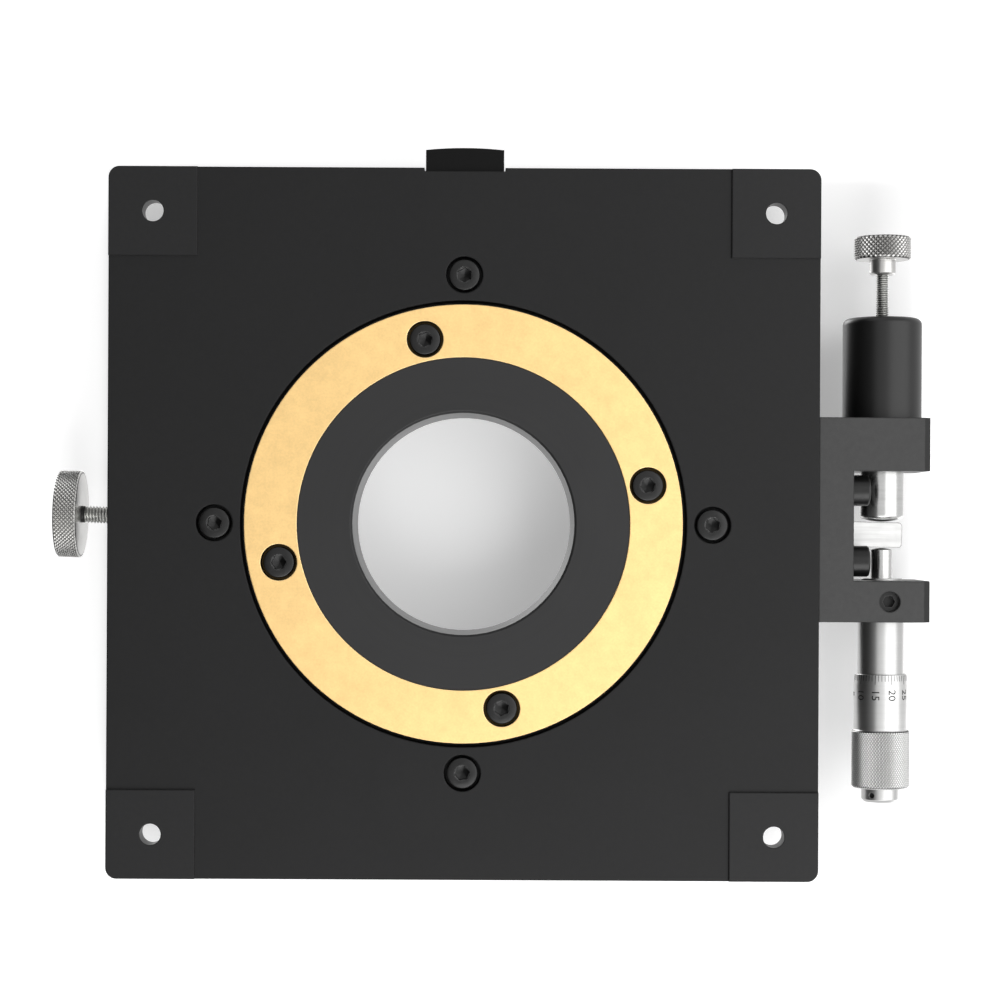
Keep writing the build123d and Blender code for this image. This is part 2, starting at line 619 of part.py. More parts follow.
# Thumb knob of the preload screw, with its hub
with BuildPart() as preload_knob:
    with BuildSketch(drive_plane):
        with BuildLine():
            Polyline(
                (M3_R + SEAT_GAP, PRELOAD_NECK),
                (PRELOAD_HUB_R, PRELOAD_NECK),
                (PRELOAD_HUB_R, PRELOAD_NECK - PRELOAD_HUB_L),
                (PRELOAD_KNOB_R, PRELOAD_NECK - PRELOAD_HUB_L),
                (PRELOAD_KNOB_R, PRELOAD_NECK - PRELOAD_HUB_L - PRELOAD_KNOB_L),
                (0, PRELOAD_NECK - PRELOAD_HUB_L - PRELOAD_KNOB_L),
                (0, PRELOAD_NECK - PRELOAD_GRIP),
                (M3_R + SEAT_GAP, PRELOAD_NECK - PRELOAD_GRIP),
                close=True,
            )
        make_face()
    revolve(axis=drive_axis)
    circles = preload_knob.edges().filter_by(GeomType.CIRCLE)
    chamfer(circles.filter_by(lambda edge: edge.radius > PRELOAD_HUB_R), KNOB_CHAMFER)
finish(preload_knob, "preload_knob")

# Micrometer sleeve: stem in the bracket, barrel inside the thimble
with BuildPart() as micrometer_sleeve:
    with BuildSketch(drive_plane):
        with BuildLine():
            Polyline(
                (SPINDLE_R + RUN_GAP, GAP_HALF - STEM_PROUD),
                (STEM_R, GAP_HALF - STEM_PROUD),
                (STEM_R, LOWER_FACE),
                (SLEEVE_R, LOWER_FACE),
                (SLEEVE_R, SLEEVE_END),
                (SPINDLE_R + RUN_GAP, SLEEVE_END),
                close=True,
            )
        make_face()
    revolve(axis=drive_axis)
finish(micrometer_sleeve, "micrometer_sleeve")

# Set screw under the bracket
with BuildPart() as sleeve_set_screw:
    with BuildSketch(Plane((DRIVE_X, SET_SCREW_Y, BRACKET_Z + SET_SCREW_DROP))):
        Circle(SET_SCREW_R)
    extrude(amount=DRIVE_Z - STEM_R - AXIAL_GAP - BRACKET_Z - SET_SCREW_DROP)
    with BuildSketch(Plane((DRIVE_X, SET_SCREW_Y, BRACKET_Z + SET_SCREW_DROP))):
        RegularPolygon(SET_SCREW_HEX / 2, 6, major_radius=False)
    extrude(amount=HEX_DEPTH, mode=Mode.SUBTRACT)
finish(sleeve_set_screw, "sleeve_set_screw")

# Spindle with its domed tip
with BuildPart() as spindle:
    with BuildSketch(drive_plane):
        with BuildLine():
            nose_arc = CenterArc(
                (0, SPINDLE_TIP + SPINDLE_DOME_R),
                SPINDLE_DOME_R,
                -90,
                degrees(asin(SPINDLE_R / SPINDLE_DOME_R)),
            )
            Polyline(nose_arc @ 1, (SPINDLE_R, SPINDLE_END), (0, SPINDLE_END), nose_arc @ 0)
        make_face()
    revolve(axis=drive_axis)
finish(spindle, "spindle")

# Thimble: hollow, with a coned lip at the scale and a thicker knurled end
with BuildPart() as thimble:
    with BuildSketch(drive_plane):
        with BuildLine():
            Polyline(
                (SLEEVE_R + THIMBLE_GAP, THIMBLE_START),
                (THIMBLE_LIP_R, THIMBLE_START),
                (THIMBLE_R, THIMBLE_START + THIMBLE_LIP_L),
                (THIMBLE_R, KNURL_START),
                (KNURL_R, KNURL_START + KNURL_CHAMFER),
                (KNURL_R, THIMBLE_END - KNURL_CHAMFER),
                (KNURL_R - KNURL_CHAMFER, THIMBLE_END),
                (SPINDLE_R + RUN_GAP, THIMBLE_END),
                (SPINDLE_R + RUN_GAP, THIMBLE_FLOOR),
                (SLEEVE_R + THIMBLE_GAP, THIMBLE_FLOOR),
                close=True,
            )
        make_face()
    revolve(axis=drive_axis)
finish(thimble, "thimble")

# Cap on the thimble's end, with a small hole for a pin key
with BuildPart() as thimble_cap:
    with BuildSketch(drive_section.offset(THIMBLE_END)):
        Circle(CAP_R)
    extrude(amount=CAP_L)
    chamfer(thimble_cap.edges().sort_by(Axis.Y)[-1], KNOB_CHAMFER)
    key_way = Vector(0, 0, -1).rotate(Axis.Y, CAP_HOLE_TURN)
    key_hole = Plane(Vector(DRIVE_X, THIMBLE_END + CAP_L / 2, DRIVE_Z), z_dir=key_way).offset(CAP_R)
    with Locations(key_hole):
        Hole(CAP_HOLE_R, depth=CAP_HOLE_DEPTH)
finish(thimble_cap, "thimble_cap")

# Brass pad between the lock screw and the hub
with BuildPart() as clamp_pad:
    with BuildSketch(lock_section.offset(PAD_FRONT)):
        Circle(PAD_R)
    extrude(amount=PAD_L)
finish(clamp_pad, "clamp_pad")

# Lock screw, threaded through the clamp ring's boss
with BuildPart() as lock_screw:
    with BuildSketch(lock_section.offset(PAD_BACK + AXIAL_GAP)):
        Circle(M4_R)
    extrude(amount=LOCK_NECK + LOCK_GRIP - PAD_BACK - AXIAL_GAP)
finish(lock_screw, "lock_screw")

# Lock knob
with BuildPart() as lock_knob:
    with BuildSketch(lock_plane):
        with BuildLine():
            Polyline(
                (M4_R + SEAT_GAP, LOCK_NECK),
                (LOCK_KNOB_R, LOCK_NECK),
                (LOCK_KNOB_R, LOCK_NECK + LOCK_KNOB_L),
                (0, LOCK_NECK + LOCK_KNOB_L),
                (0, LOCK_NECK + LOCK_GRIP),
                (M4_R + SEAT_GAP, LOCK_NECK + LOCK_GRIP),
                close=True,
            )
        make_face()
    revolve(axis=lock_axis)
    circles = lock_knob.edges().filter_by(GeomType.CIRCLE)
    chamfer(circles.filter_by(lambda edge: edge.radius > M4_R + SEAT_GAP), KNOB_CHAMFER)
finish(lock_knob, "lock_knob")

# Vernier block: outer face round the stage's axis, hollowed for the table's rim
with BuildPart() as vernier_block:
    with BuildSketch(Plane.XY.offset(VERNIER_Z)):
        Circle(VERNIER_R)
        with Locations((0, -VERNIER_SEAT)):
            Rectangle(VERNIER_W, VERNIER_R, align=(Align.CENTER, Align.MAX), mode=Mode.INTERSECT)
    extrude(amount=VERNIER_TOP - VERNIER_Z)
    with BuildSketch(Plane.XY.offset(BASE_TOP)):
        Circle(VERNIER_INNER_R)
    extrude(amount=VERNIER_TOP - BASE_TOP, mode=Mode.SUBTRACT)
    with Locations(vernier_side):
        with Locations((-VERNIER_SCREW_X, 0), (VERNIER_SCREW_X, 0)):
            CounterBoreHole(M3_R + CLEAR_EXTRA, M3_HEAD_R + CLEAR_EXTRA, VERNIER_SINK)
finish(vernier_block, "vernier_block")

# Two cap screws that hold the vernier block to the base's edge
vernier_screw = cap_screw(M3_R, VERNIER_SCREW_L, M3_HEAD_R, M3_HEAD_H, M3_HEX)
with BuildPart(vernier_seats) as vernier_screws:
    with Locations((-VERNIER_SCREW_X, 0), (VERNIER_SCREW_X, 0)):
        add(vernier_screw)
finish(vernier_screws, "vernier_screws")
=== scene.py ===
"""Looks of a manual rotation stage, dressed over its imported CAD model.

The photograph shows the stage face down, so the camera stands under the base and looks up.
Pieces are modelled in millimetres about the Z axis and then settled in metres.
"""

import logging
from collections.abc import Callable, Iterator
from contextlib import contextmanager
from dataclasses import dataclass, replace
from enum import Enum
from math import atan2, cos, hypot, pi, radians, sin, tau

import bpy
from mathutils import Matrix, Vector


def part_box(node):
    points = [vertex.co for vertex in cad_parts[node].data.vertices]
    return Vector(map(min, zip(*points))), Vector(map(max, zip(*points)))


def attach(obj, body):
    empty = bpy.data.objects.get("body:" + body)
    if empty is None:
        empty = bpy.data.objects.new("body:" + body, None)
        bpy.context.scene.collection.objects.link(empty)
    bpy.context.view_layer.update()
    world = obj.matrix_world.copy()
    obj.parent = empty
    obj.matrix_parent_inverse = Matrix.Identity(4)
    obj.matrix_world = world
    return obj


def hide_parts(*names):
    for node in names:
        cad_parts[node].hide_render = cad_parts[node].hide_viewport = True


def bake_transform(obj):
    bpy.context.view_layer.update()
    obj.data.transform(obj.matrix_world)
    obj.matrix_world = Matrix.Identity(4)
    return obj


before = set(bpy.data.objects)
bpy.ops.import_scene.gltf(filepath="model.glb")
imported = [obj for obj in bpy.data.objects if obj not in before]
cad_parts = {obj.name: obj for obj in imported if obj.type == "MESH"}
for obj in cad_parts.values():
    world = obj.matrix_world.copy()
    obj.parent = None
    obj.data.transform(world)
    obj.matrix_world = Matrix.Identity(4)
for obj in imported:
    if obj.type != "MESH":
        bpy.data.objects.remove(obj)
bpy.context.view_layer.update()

LOG = logging.getLogger("rotation_stage")
MM = 0.001
VECTOR, NUMBER = "NodeSocketVector", "NodeSocketFloat"
Colour = tuple[float, float, float]
Point = tuple[float, float, float]
Rings = tuple[tuple[float, float], ...]
Piece = bpy.types.Object
Socket = bpy.types.NodeSocket
Value = float | tuple | Socket
NodeGroup = bpy.types.NodeTree
Sockets = bpy.types.bpy_prop_collection


def grey(value: float) -> Colour:
    """Neutral colour of one value."""
    return (value, value, value)


class Lay(Enum):
    """How the fine tool marks of a finish run, with what they are stretched by."""

    EVEN = (1.0, 1.0, 1.0)
    ALONG_X = (0.05, 1.0, 1.0)
    TURNED = ()


@dataclass(frozen=True)
class Lathe:
    """Line that a turned piece was turned about."""

    centre: Point
    axis: Point


STAGE_LATHE = Lathe((0.0, 0.0, 0.0), (0.0, 0.0, 1.0))
DRIVE_LATHE = Lathe((0.096, 0.0, 0.013), (0.0, 1.0, 0.0))
LOCK_LATHE = Lathe((0.0, 0.0, 0.013), (cos(radians(1.2)), sin(radians(1.2)), 0.0))


@dataclass(frozen=True)
class Finish:
    """One surface finish, with its tool marks, handling marks and edges, in metres.

    Its edge band carries wear, painted highlights and painted shade, depending on the finish.

    The part values scale the colour below and above a plane across one axis: lighter on machined
    pads, and painted shade on the bracket's end, in brass counterbores and in screw sockets. A
    groove radius above zero paints shade into what is cut into a turned surface.
    """

    name: str
    colour: Colour
    metallic: float
    roughness: float
    specular: float = 0.5
    lay: Lay = Lay.EVEN
    lathe: Lathe = STAGE_LATHE
    mark_size: float = 0.0004
    mark_tone: float = 0.08
    mark_relief: float = 0.000004
    smudge_size: float = 0.02
    smudge: float = 0.05
    # edge values: a band of colour along edges, wear on some finishes, painted highlights and
    # painted shade on others
    edge_radius: float = 0.00015
    edge_wear_and_light: float = 0.3
    edge_colour: Colour = grey(0.3)
    # groove values: painted shade that deepens towards the bottom of knurl and thread grooves
    groove_radius: float = 0.0
    groove_depth: float = 0.0003
    groove_shade: float = 0.85
    part_axis: str = "Z"
    part_at: float = 0.0
    part_below: float = 1.0
    part_above: float = 1.0


BASE_BLACK = Finish(
    "base_black_anodised", (0.0095, 0.0095, 0.0098), 0.0, 0.42, specular=0.22,
    mark_size=0.00025, mark_tone=0.16, smudge_size=0.03, smudge=0.08,
    # edge values: painted shade, dark lines where the plate's edges fall in shade
    edge_radius=0.0004, edge_wear_and_light=2.5, edge_colour=grey(0.0015),
    part_at=0.0003, part_below=1.5,
)
LUG_BLACK = replace(
    BASE_BLACK, name="lug_black_anodised", colour=grey(0.003), specular=0.12,
    edge_radius=0.0003, edge_wear_and_light=0.7, edge_colour=grey(0.06), part_below=1.0,
)
BRACKET_BLACK = Finish(
    "bracket_black_anodised", grey(0.048), 0.0, 0.45, specular=0.3,
    mark_size=0.0003, mark_tone=0.14, smudge_size=0.012, smudge=0.08,
    # edge values: painted shade, dark lines along the bracket's edges
    edge_radius=0.00045, edge_wear_and_light=3.0, edge_colour=grey(0.002),
    # part values: painted shade, the bracket's end beyond X 103.75 mm darkened to 0.08
    part_axis="X", part_at=0.10375, part_above=0.08,
)
HUB_BLACK = Finish(
    "hub_black_anodised", (0.026, 0.026, 0.0265), 0.0, 0.4, specular=0.25, lay=Lay.TURNED,
    mark_size=0.0003, mark_tone=0.12, mark_relief=0.000002, smudge=0.07,
    edge_radius=0.0002, edge_wear_and_light=0.5, edge_colour=grey(0.2),
)
CAN_BLACK = Finish(
    "can_black_anodised", grey(0.0045), 0.0, 0.36, specular=0.42, lay=Lay.TURNED,
    lathe=DRIVE_LATHE, mark_tone=0.12, mark_relief=0.000002, edge_colour=grey(0.05),
)
BRASS = Finish(
    "faced_brass", (0.88, 0.61, 0.27), 1.0, 0.44, mark_size=0.0005,
    mark_tone=0.1, mark_relief=0.000008, smudge_size=0.007, smudge=0.06,
    edge_radius=0.0003, edge_wear_and_light=1.2, edge_colour=(0.98, 0.8, 0.5),
    # part values: painted shade, counterbore floors and walls above Z 1.1 mm darkened to 0.1
    part_at=0.0011, part_above=0.1,
)
BRONZE = Finish("bearing_bronze", (0.5, 0.29, 0.13), 1.0, 0.45, lay=Lay.TURNED, mark_tone=0.12)
SCREW_BLACK = Finish(
    "black_oxide", grey(0.008), 0.2, 0.34, specular=0.4, mark_size=0.0005,
    mark_tone=0.3, mark_relief=0.00001, smudge_size=0.003, smudge=0.12,
    # edge values: painted glints, lighter rims on the heads and sockets
    edge_radius=0.00014, edge_wear_and_light=1.6, edge_colour=grey(0.2),
)
# painted shade: screw heads darkened above Z 1.3 mm, down in their sockets and counterbores
SCREW_BLACK_SHADED_SOCKETS = replace(SCREW_BLACK, name="black_oxide_shaded_sockets", part_at=0.0013, part_above=0.2)
DARK_STEEL = replace(SCREW_BLACK, name="dark_steel", colour=grey(0.004), edge_wear_and_light=0.0)
BRIGHT_BAR = Finish(
    "milled_bright_bar", (0.6, 0.6, 0.595), 1.0, 0.4, lay=Lay.ALONG_X, mark_size=0.0005,
    mark_tone=0.2, mark_relief=0.00002, smudge_size=0.003, smudge=0.08,
    # edge values: painted shade, dark lines along the arm's edges
    edge_radius=0.0004, edge_wear_and_light=3.0, edge_colour=grey(0.03),
)
GROUND_STEEL = Finish(
    "ground_steel", (0.52, 0.52, 0.515), 1.0, 0.24, lay=Lay.TURNED, lathe=DRIVE_LATHE,
    mark_size=0.0003, mark_relief=0.000003, smudge=0.06, edge_wear_and_light=0.4, edge_colour=grey(0.12),
)
SATIN_CHROME = Finish(
    "satin_chrome", (0.5, 0.5, 0.495), 1.0, 0.36, lay=Lay.TURNED, lathe=DRIVE_LATHE,
    mark_size=0.00025, mark_tone=0.06, mark_relief=0.000002, edge_colour=grey(0.75),
)
THIMBLE_CHROME = replace(
    SATIN_CHROME, name="thimble_chrome", colour=(0.57, 0.57, 0.565),
    # groove values: painted shade in the knurl's grooves
    groove_radius=0.0066, groove_depth=0.00022, groove_shade=0.9,
    # edge values: painted highlights, lighter crests on the knurl
    edge_radius=0.00008, edge_wear_and_light=0.8, edge_colour=(0.95, 0.95, 0.94),
)
PRELOAD_NICKEL = Finish(
    "preload_nickel", (0.5, 0.495, 0.485), 1.0, 0.32, lay=Lay.TURNED, lathe=DRIVE_LATHE,
    mark_size=0.0003, mark_tone=0.1, mark_relief=0.000003, smudge_size=0.004, smudge=0.08,
    edge_radius=0.0001, edge_wear_and_light=0.5, edge_colour=(0.9, 0.89, 0.87),
    # groove values: painted shade in the knurl's grooves
    groove_radius=0.0065, groove_depth=0.00042,
)
LOCK_NICKEL = replace(
    PRELOAD_NICKEL, name="lock_nickel", colour=(0.68, 0.675, 0.66), lathe=LOCK_LATHE,
    # painted shade in the knurl's grooves; edge values raised for painted highlights on the knurl
    groove_radius=0.01, edge_wear_and_light=1.2,
)
PRELOAD_THREAD = Finish(
    "preload_thread", (0.6, 0.6, 0.585), 1.0, 0.32, lay=Lay.TURNED, lathe=DRIVE_LATHE,
    mark_size=0.0003, mark_tone=0.12, mark_relief=0.000002, smudge_size=0.003, smudge=0.1,
    # groove radius: painted shade in the thread's grooves
    edge_radius=0.00004, edge_wear_and_light=0.2, edge_colour=(0.8, 0.8, 0.78), groove_radius=0.0015,
)
LOCK_THREAD = replace(
    PRELOAD_THREAD, name="lock_thread", colour=(0.8, 0.8, 0.78), lathe=LOCK_LATHE,
    # groove values: painted shade in the thread's grooves
    groove_radius=0.002, groove_depth=0.00042,
)
SPRING_STEEL = Finish("spring_wire", (0.35, 0.35, 0.36), 1.0, 0.35, mark_tone=0.1)
BLACK_RING = Finish(
    "black_neck_ring", grey(0.006), 0.0, 0.4, specular=0.3, mark_tone=0.2, edge_wear_and_light=0.0,
)
BLACK_FILL = Finish(
    "black_filled_engraving", grey(0.015), 0.0, 0.6, specular=0.1, mark_tone=0.2,
    mark_size=0.0002, edge_wear_and_light=0.0,
)
WHITE_FILL = Finish(
    "white_filled_engraving", (0.78, 0.78, 0.76), 0.0, 0.6, specular=0.3, mark_tone=0.06,
    mark_size=0.0002, edge_wear_and_light=0.0,
)


class Tree:
    """Short ways to add nodes to a shader tree, each fed as it is made."""

    def __init__(self, tree: NodeGroup) -> None:
        """Work on one tree."""
        self.tree = tree

    def feed(self, socket: Socket, value: Value) -> None:
        """Link an output to this input, or set its constant."""
        if isinstance(value, Socket):
            self.tree.links.new(value, socket)
        else:
            socket.default_value = value

    def add(self, kind: str, inputs: dict | None = None, **settings: object) -> bpy.types.Node:
        """Add a node.

        Args:
            kind: its type, without the prefix that all shader nodes share.
            inputs: what feeds each input, by label or place.
            settings: the node's own properties, set before its inputs.

        Returns:
            The node.
        """
        node = self.tree.nodes.new("ShaderNode" + kind)
        for label, value in settings.items():
            setattr(node, label, value)
        for place, value in (inputs or {}).items():
            self.feed(node.inputs[place], value)
        return node

    def place(self, group: NodeGroup, **values: Value) -> Sockets:
        """Place a node group with its own values and give its outputs."""
        return self.add("Group", values, node_tree=group).outputs

    def maths(self, operation: str, *values: Value) -> Socket:
        """Give the result of a Math node."""
        return self.add("Math", dict(enumerate(values)), operation=operation).outputs[0]

    def vectors(self, operation: str, *values: Value) -> Socket:
        """Give the result of a Vector Math node, a vector or a number."""
        node = self.add("VectorMath", dict(enumerate(values)), operation=operation)
        return node.outputs["Value" if operation in ("DOT_PRODUCT", "LENGTH") else "Vector"]

    def scaled(self, vector: Value, factor: Socket) -> Socket:
        """Give a vector or colour times a number that varies."""
        inputs = {0: vector, "Scale": factor}
        return self.add("VectorMath", inputs, operation="SCALE").outputs["Vector"]

    def mapped(
        self, value: Value, into: tuple, source: tuple = (0.0, 1.0), **settings: str
    ) -> Socket:
        """Give a number carried from one range into another."""
        inputs = {"Value": value, "From Min": source[0], "From Max": source[1]}
        inputs |= {"To Min": into[0], "To Max": into[1]}
        return self.add("MapRange", inputs, **settings).outputs["Result"]

    def clamped(self, value: Value) -> Socket:
        """Give a number held between 0 and 1."""
        return self.add("Clamp", {"Value": value}).outputs["Result"]

    def noise(self, vector: Value, scale: Value, detail: float, **inputs: float) -> Socket:
        """Give an even noise from 0 to 1."""
        inputs |= {"Vector": vector, "Scale": scale, "Detail": detail}
        return self.add("TexNoise", inputs).outputs["Fac"]

    def axes(self, vector: Socket) -> Sockets:
        """Give a vector's X, Y and Z."""
        return self.add("SeparateXYZ", {"Vector": vector}).outputs


class Effects:
    """Shader node groups that all finishes share."""

    COARSE_MARKS = 0.22
    MARK_SPREAD = (2.4, -0.7)
    EDGE_GAIN = 5.0
    EDGE_BREAK_SCALE = 900.0
    SHADE_SHARPNESS = 3.0
    GROOVE_LIMIT = 1.5

    def __init__(self) -> None:
        """Build every group once."""
        self.turned = self._turned_coordinates()
        self.marks = self._tool_marks()
        self.handling = self._handling()
        self.edges = self._soft_edges()
        self.grooves = self._groove_shade()

    @staticmethod
    def _group(name: str, inputs: dict, outputs: dict[str, str]) -> tuple[Tree, Sockets, Sockets]:
        """Start a node group with named sockets.

        Args:
            name: the group's name.
            inputs: default of each input, a number or a vector.
            outputs: socket type of each output.

        Returns:
            The group's tree, what it is given, and the sockets of its results.
        """
        group = bpy.data.node_groups.new(name, "ShaderNodeTree")
        for label, value in inputs.items():
            kind = VECTOR if isinstance(value, tuple) else NUMBER
            socket = group.interface.new_socket(name=label, in_out="INPUT", socket_type=kind)
            socket.default_value = value
        for label, kind in outputs.items():
            group.interface.new_socket(name=label, in_out="OUTPUT", socket_type=kind)
        given, result = group.nodes.new("NodeGroupInput"), group.nodes.new("NodeGroupOutput")
        return Tree(group), given.outputs, result.inputs

    def _turned_coordinates(self) -> NodeGroup:
        """Radius and place along the axis, for marks that a lathe leaves."""
        tree, given, result = self._group(
            "turned_coordinates",
            {"Vector": (0, 0, 0), "Centre": (0, 0, 0), "Axis": (0, 0, 1)},
            {"Vector": VECTOR},
        )
        arm = tree.vectors("SUBTRACT", given["Vector"], given["Centre"])
        along = tree.vectors("DOT_PRODUCT", arm, given["Axis"])
        across = tree.vectors("SUBTRACT", arm, tree.scaled(given["Axis"], along))
        both = tree.add("CombineXYZ", {"X": tree.vectors("LENGTH", across), "Y": along})
        tree.feed(result["Vector"], both.outputs["Vector"])
        return tree.tree

    def _tool_marks(self) -> NodeGroup:
        """Fine marks of two sizes, from 0 to 1."""
        tree, given, result = self._group(
            "tool_marks",
            {"Vector": (0, 0, 0), "Size": 0.0004},
            {"Height": NUMBER, "Tone": NUMBER},
        )
        scale = tree.maths("DIVIDE", 1.0, given["Size"])
        coarse = tree.maths("MULTIPLY", scale, self.COARSE_MARKS)
        fine, broad = (
            tree.noise(given["Vector"], wanted, 3.0, Roughness=0.6) for wanted in (scale, coarse)
        )
        mean = tree.maths("MULTIPLY", tree.maths("ADD", fine, broad), 0.5)
        tree.feed(result["Height"], fine)
        tree.feed(result["Tone"], tree.clamped(tree.maths("MULTIPLY_ADD", mean, *self.MARK_SPREAD)))
        return tree.tree

    def _handling(self) -> NodeGroup:
        """Broad smudges, as a shift of the roughness and a faint tone."""
        tree, given, result = self._group(
            "handling_marks",
            {"Vector": (0, 0, 0), "Size": 0.02, "Roughness": 0.4, "Amount": 0.05},
            {"Roughness": NUMBER, "Tone": NUMBER},
        )
        scale = tree.maths("DIVIDE", 1.0, given["Size"])
        smudges = tree.noise(given["Vector"], scale, 4.0, Distortion=0.8)
        swing = tree.maths("MULTIPLY_ADD", smudges, 2.0, -1.0)
        shift = tree.maths("MULTIPLY", swing, given["Amount"])
        tree.feed(result["Roughness"], tree.maths("ADD", given["Roughness"], shift))
        tree.feed(result["Tone"], tree.maths("ADD", shift, 1.0))
        return tree.tree

    def _soft_edges(self) -> NodeGroup:
        """Rounded normal near an edge, and a broken mask of the edge band: wear, painted highlights
        and painted shade, depending on the finish.
        """
        tree, given, result = self._group(
            "soft_edges",
            {"Vector": (0, 0, 0), "Radius": 0.0002, "Wear": 0.3},
            {"Normal": VECTOR, "Mask": NUMBER},
        )
        bevel = tree.add("Bevel", {"Radius": given["Radius"]}, samples=4).outputs["Normal"]
        turn = tree.vectors("DOT_PRODUCT", bevel, tree.add("NewGeometry").outputs["Normal"])
        bend = tree.maths("MULTIPLY_ADD", turn, -self.EDGE_GAIN, self.EDGE_GAIN)
        broken = tree.maths("MULTIPLY", bend, tree.noise(given["Vector"], self.EDGE_BREAK_SCALE, 3.0))
        tree.feed(result["Normal"], bevel)
        tree.feed(result["Mask"], tree.clamped(tree.maths("MULTIPLY", broken, given["Wear"])))
        return tree.tree

    def _groove_shade(self) -> NodeGroup:
        """Painted shade: tone that falls towards the bottom of grooves cut in a turned surface."""
        tree, given, result = self._group(
            "groove_shade",
            {"Vector": (0, 0, 0), "Radius": 0.01, "Depth": 0.0003, "Grime": 0.9},
            {"Tone": NUMBER},
        )
        below = tree.maths("SUBTRACT", given["Radius"], tree.axes(given["Vector"])["X"])
        share = tree.maths("DIVIDE", below, given["Depth"])
        soft = tree.maths("POWER", tree.clamped(share), self.SHADE_SHARPNESS)
        painted_shade = tree.maths("MULTIPLY", soft, given["Grime"])
        dark = tree.maths("MULTIPLY", painted_shade, tree.maths("LESS_THAN", share, self.GROOVE_LIMIT))
        tree.feed(result["Tone"], tree.maths("SUBTRACT", 1.0, dark))
        return tree.tree


@contextmanager
def edit_mode() -> Iterator[None]:
    """Work on the active piece in edit mode."""
    bpy.ops.object.mode_set(mode="EDIT")
    yield
    bpy.ops.object.mode_set(mode="OBJECT")


def about_z(degrees: float) -> Matrix:
    """Turn about the Z axis."""
    return Matrix.Rotation(radians(degrees), 4, "Z")


def facing(centre: Point, direction: Vector) -> Matrix:
    """Place at a centre, with its Z axis along a direction."""
    return Matrix.Translation(centre) @ direction.to_track_quat("Z", "Y").to_matrix().to_4x4()


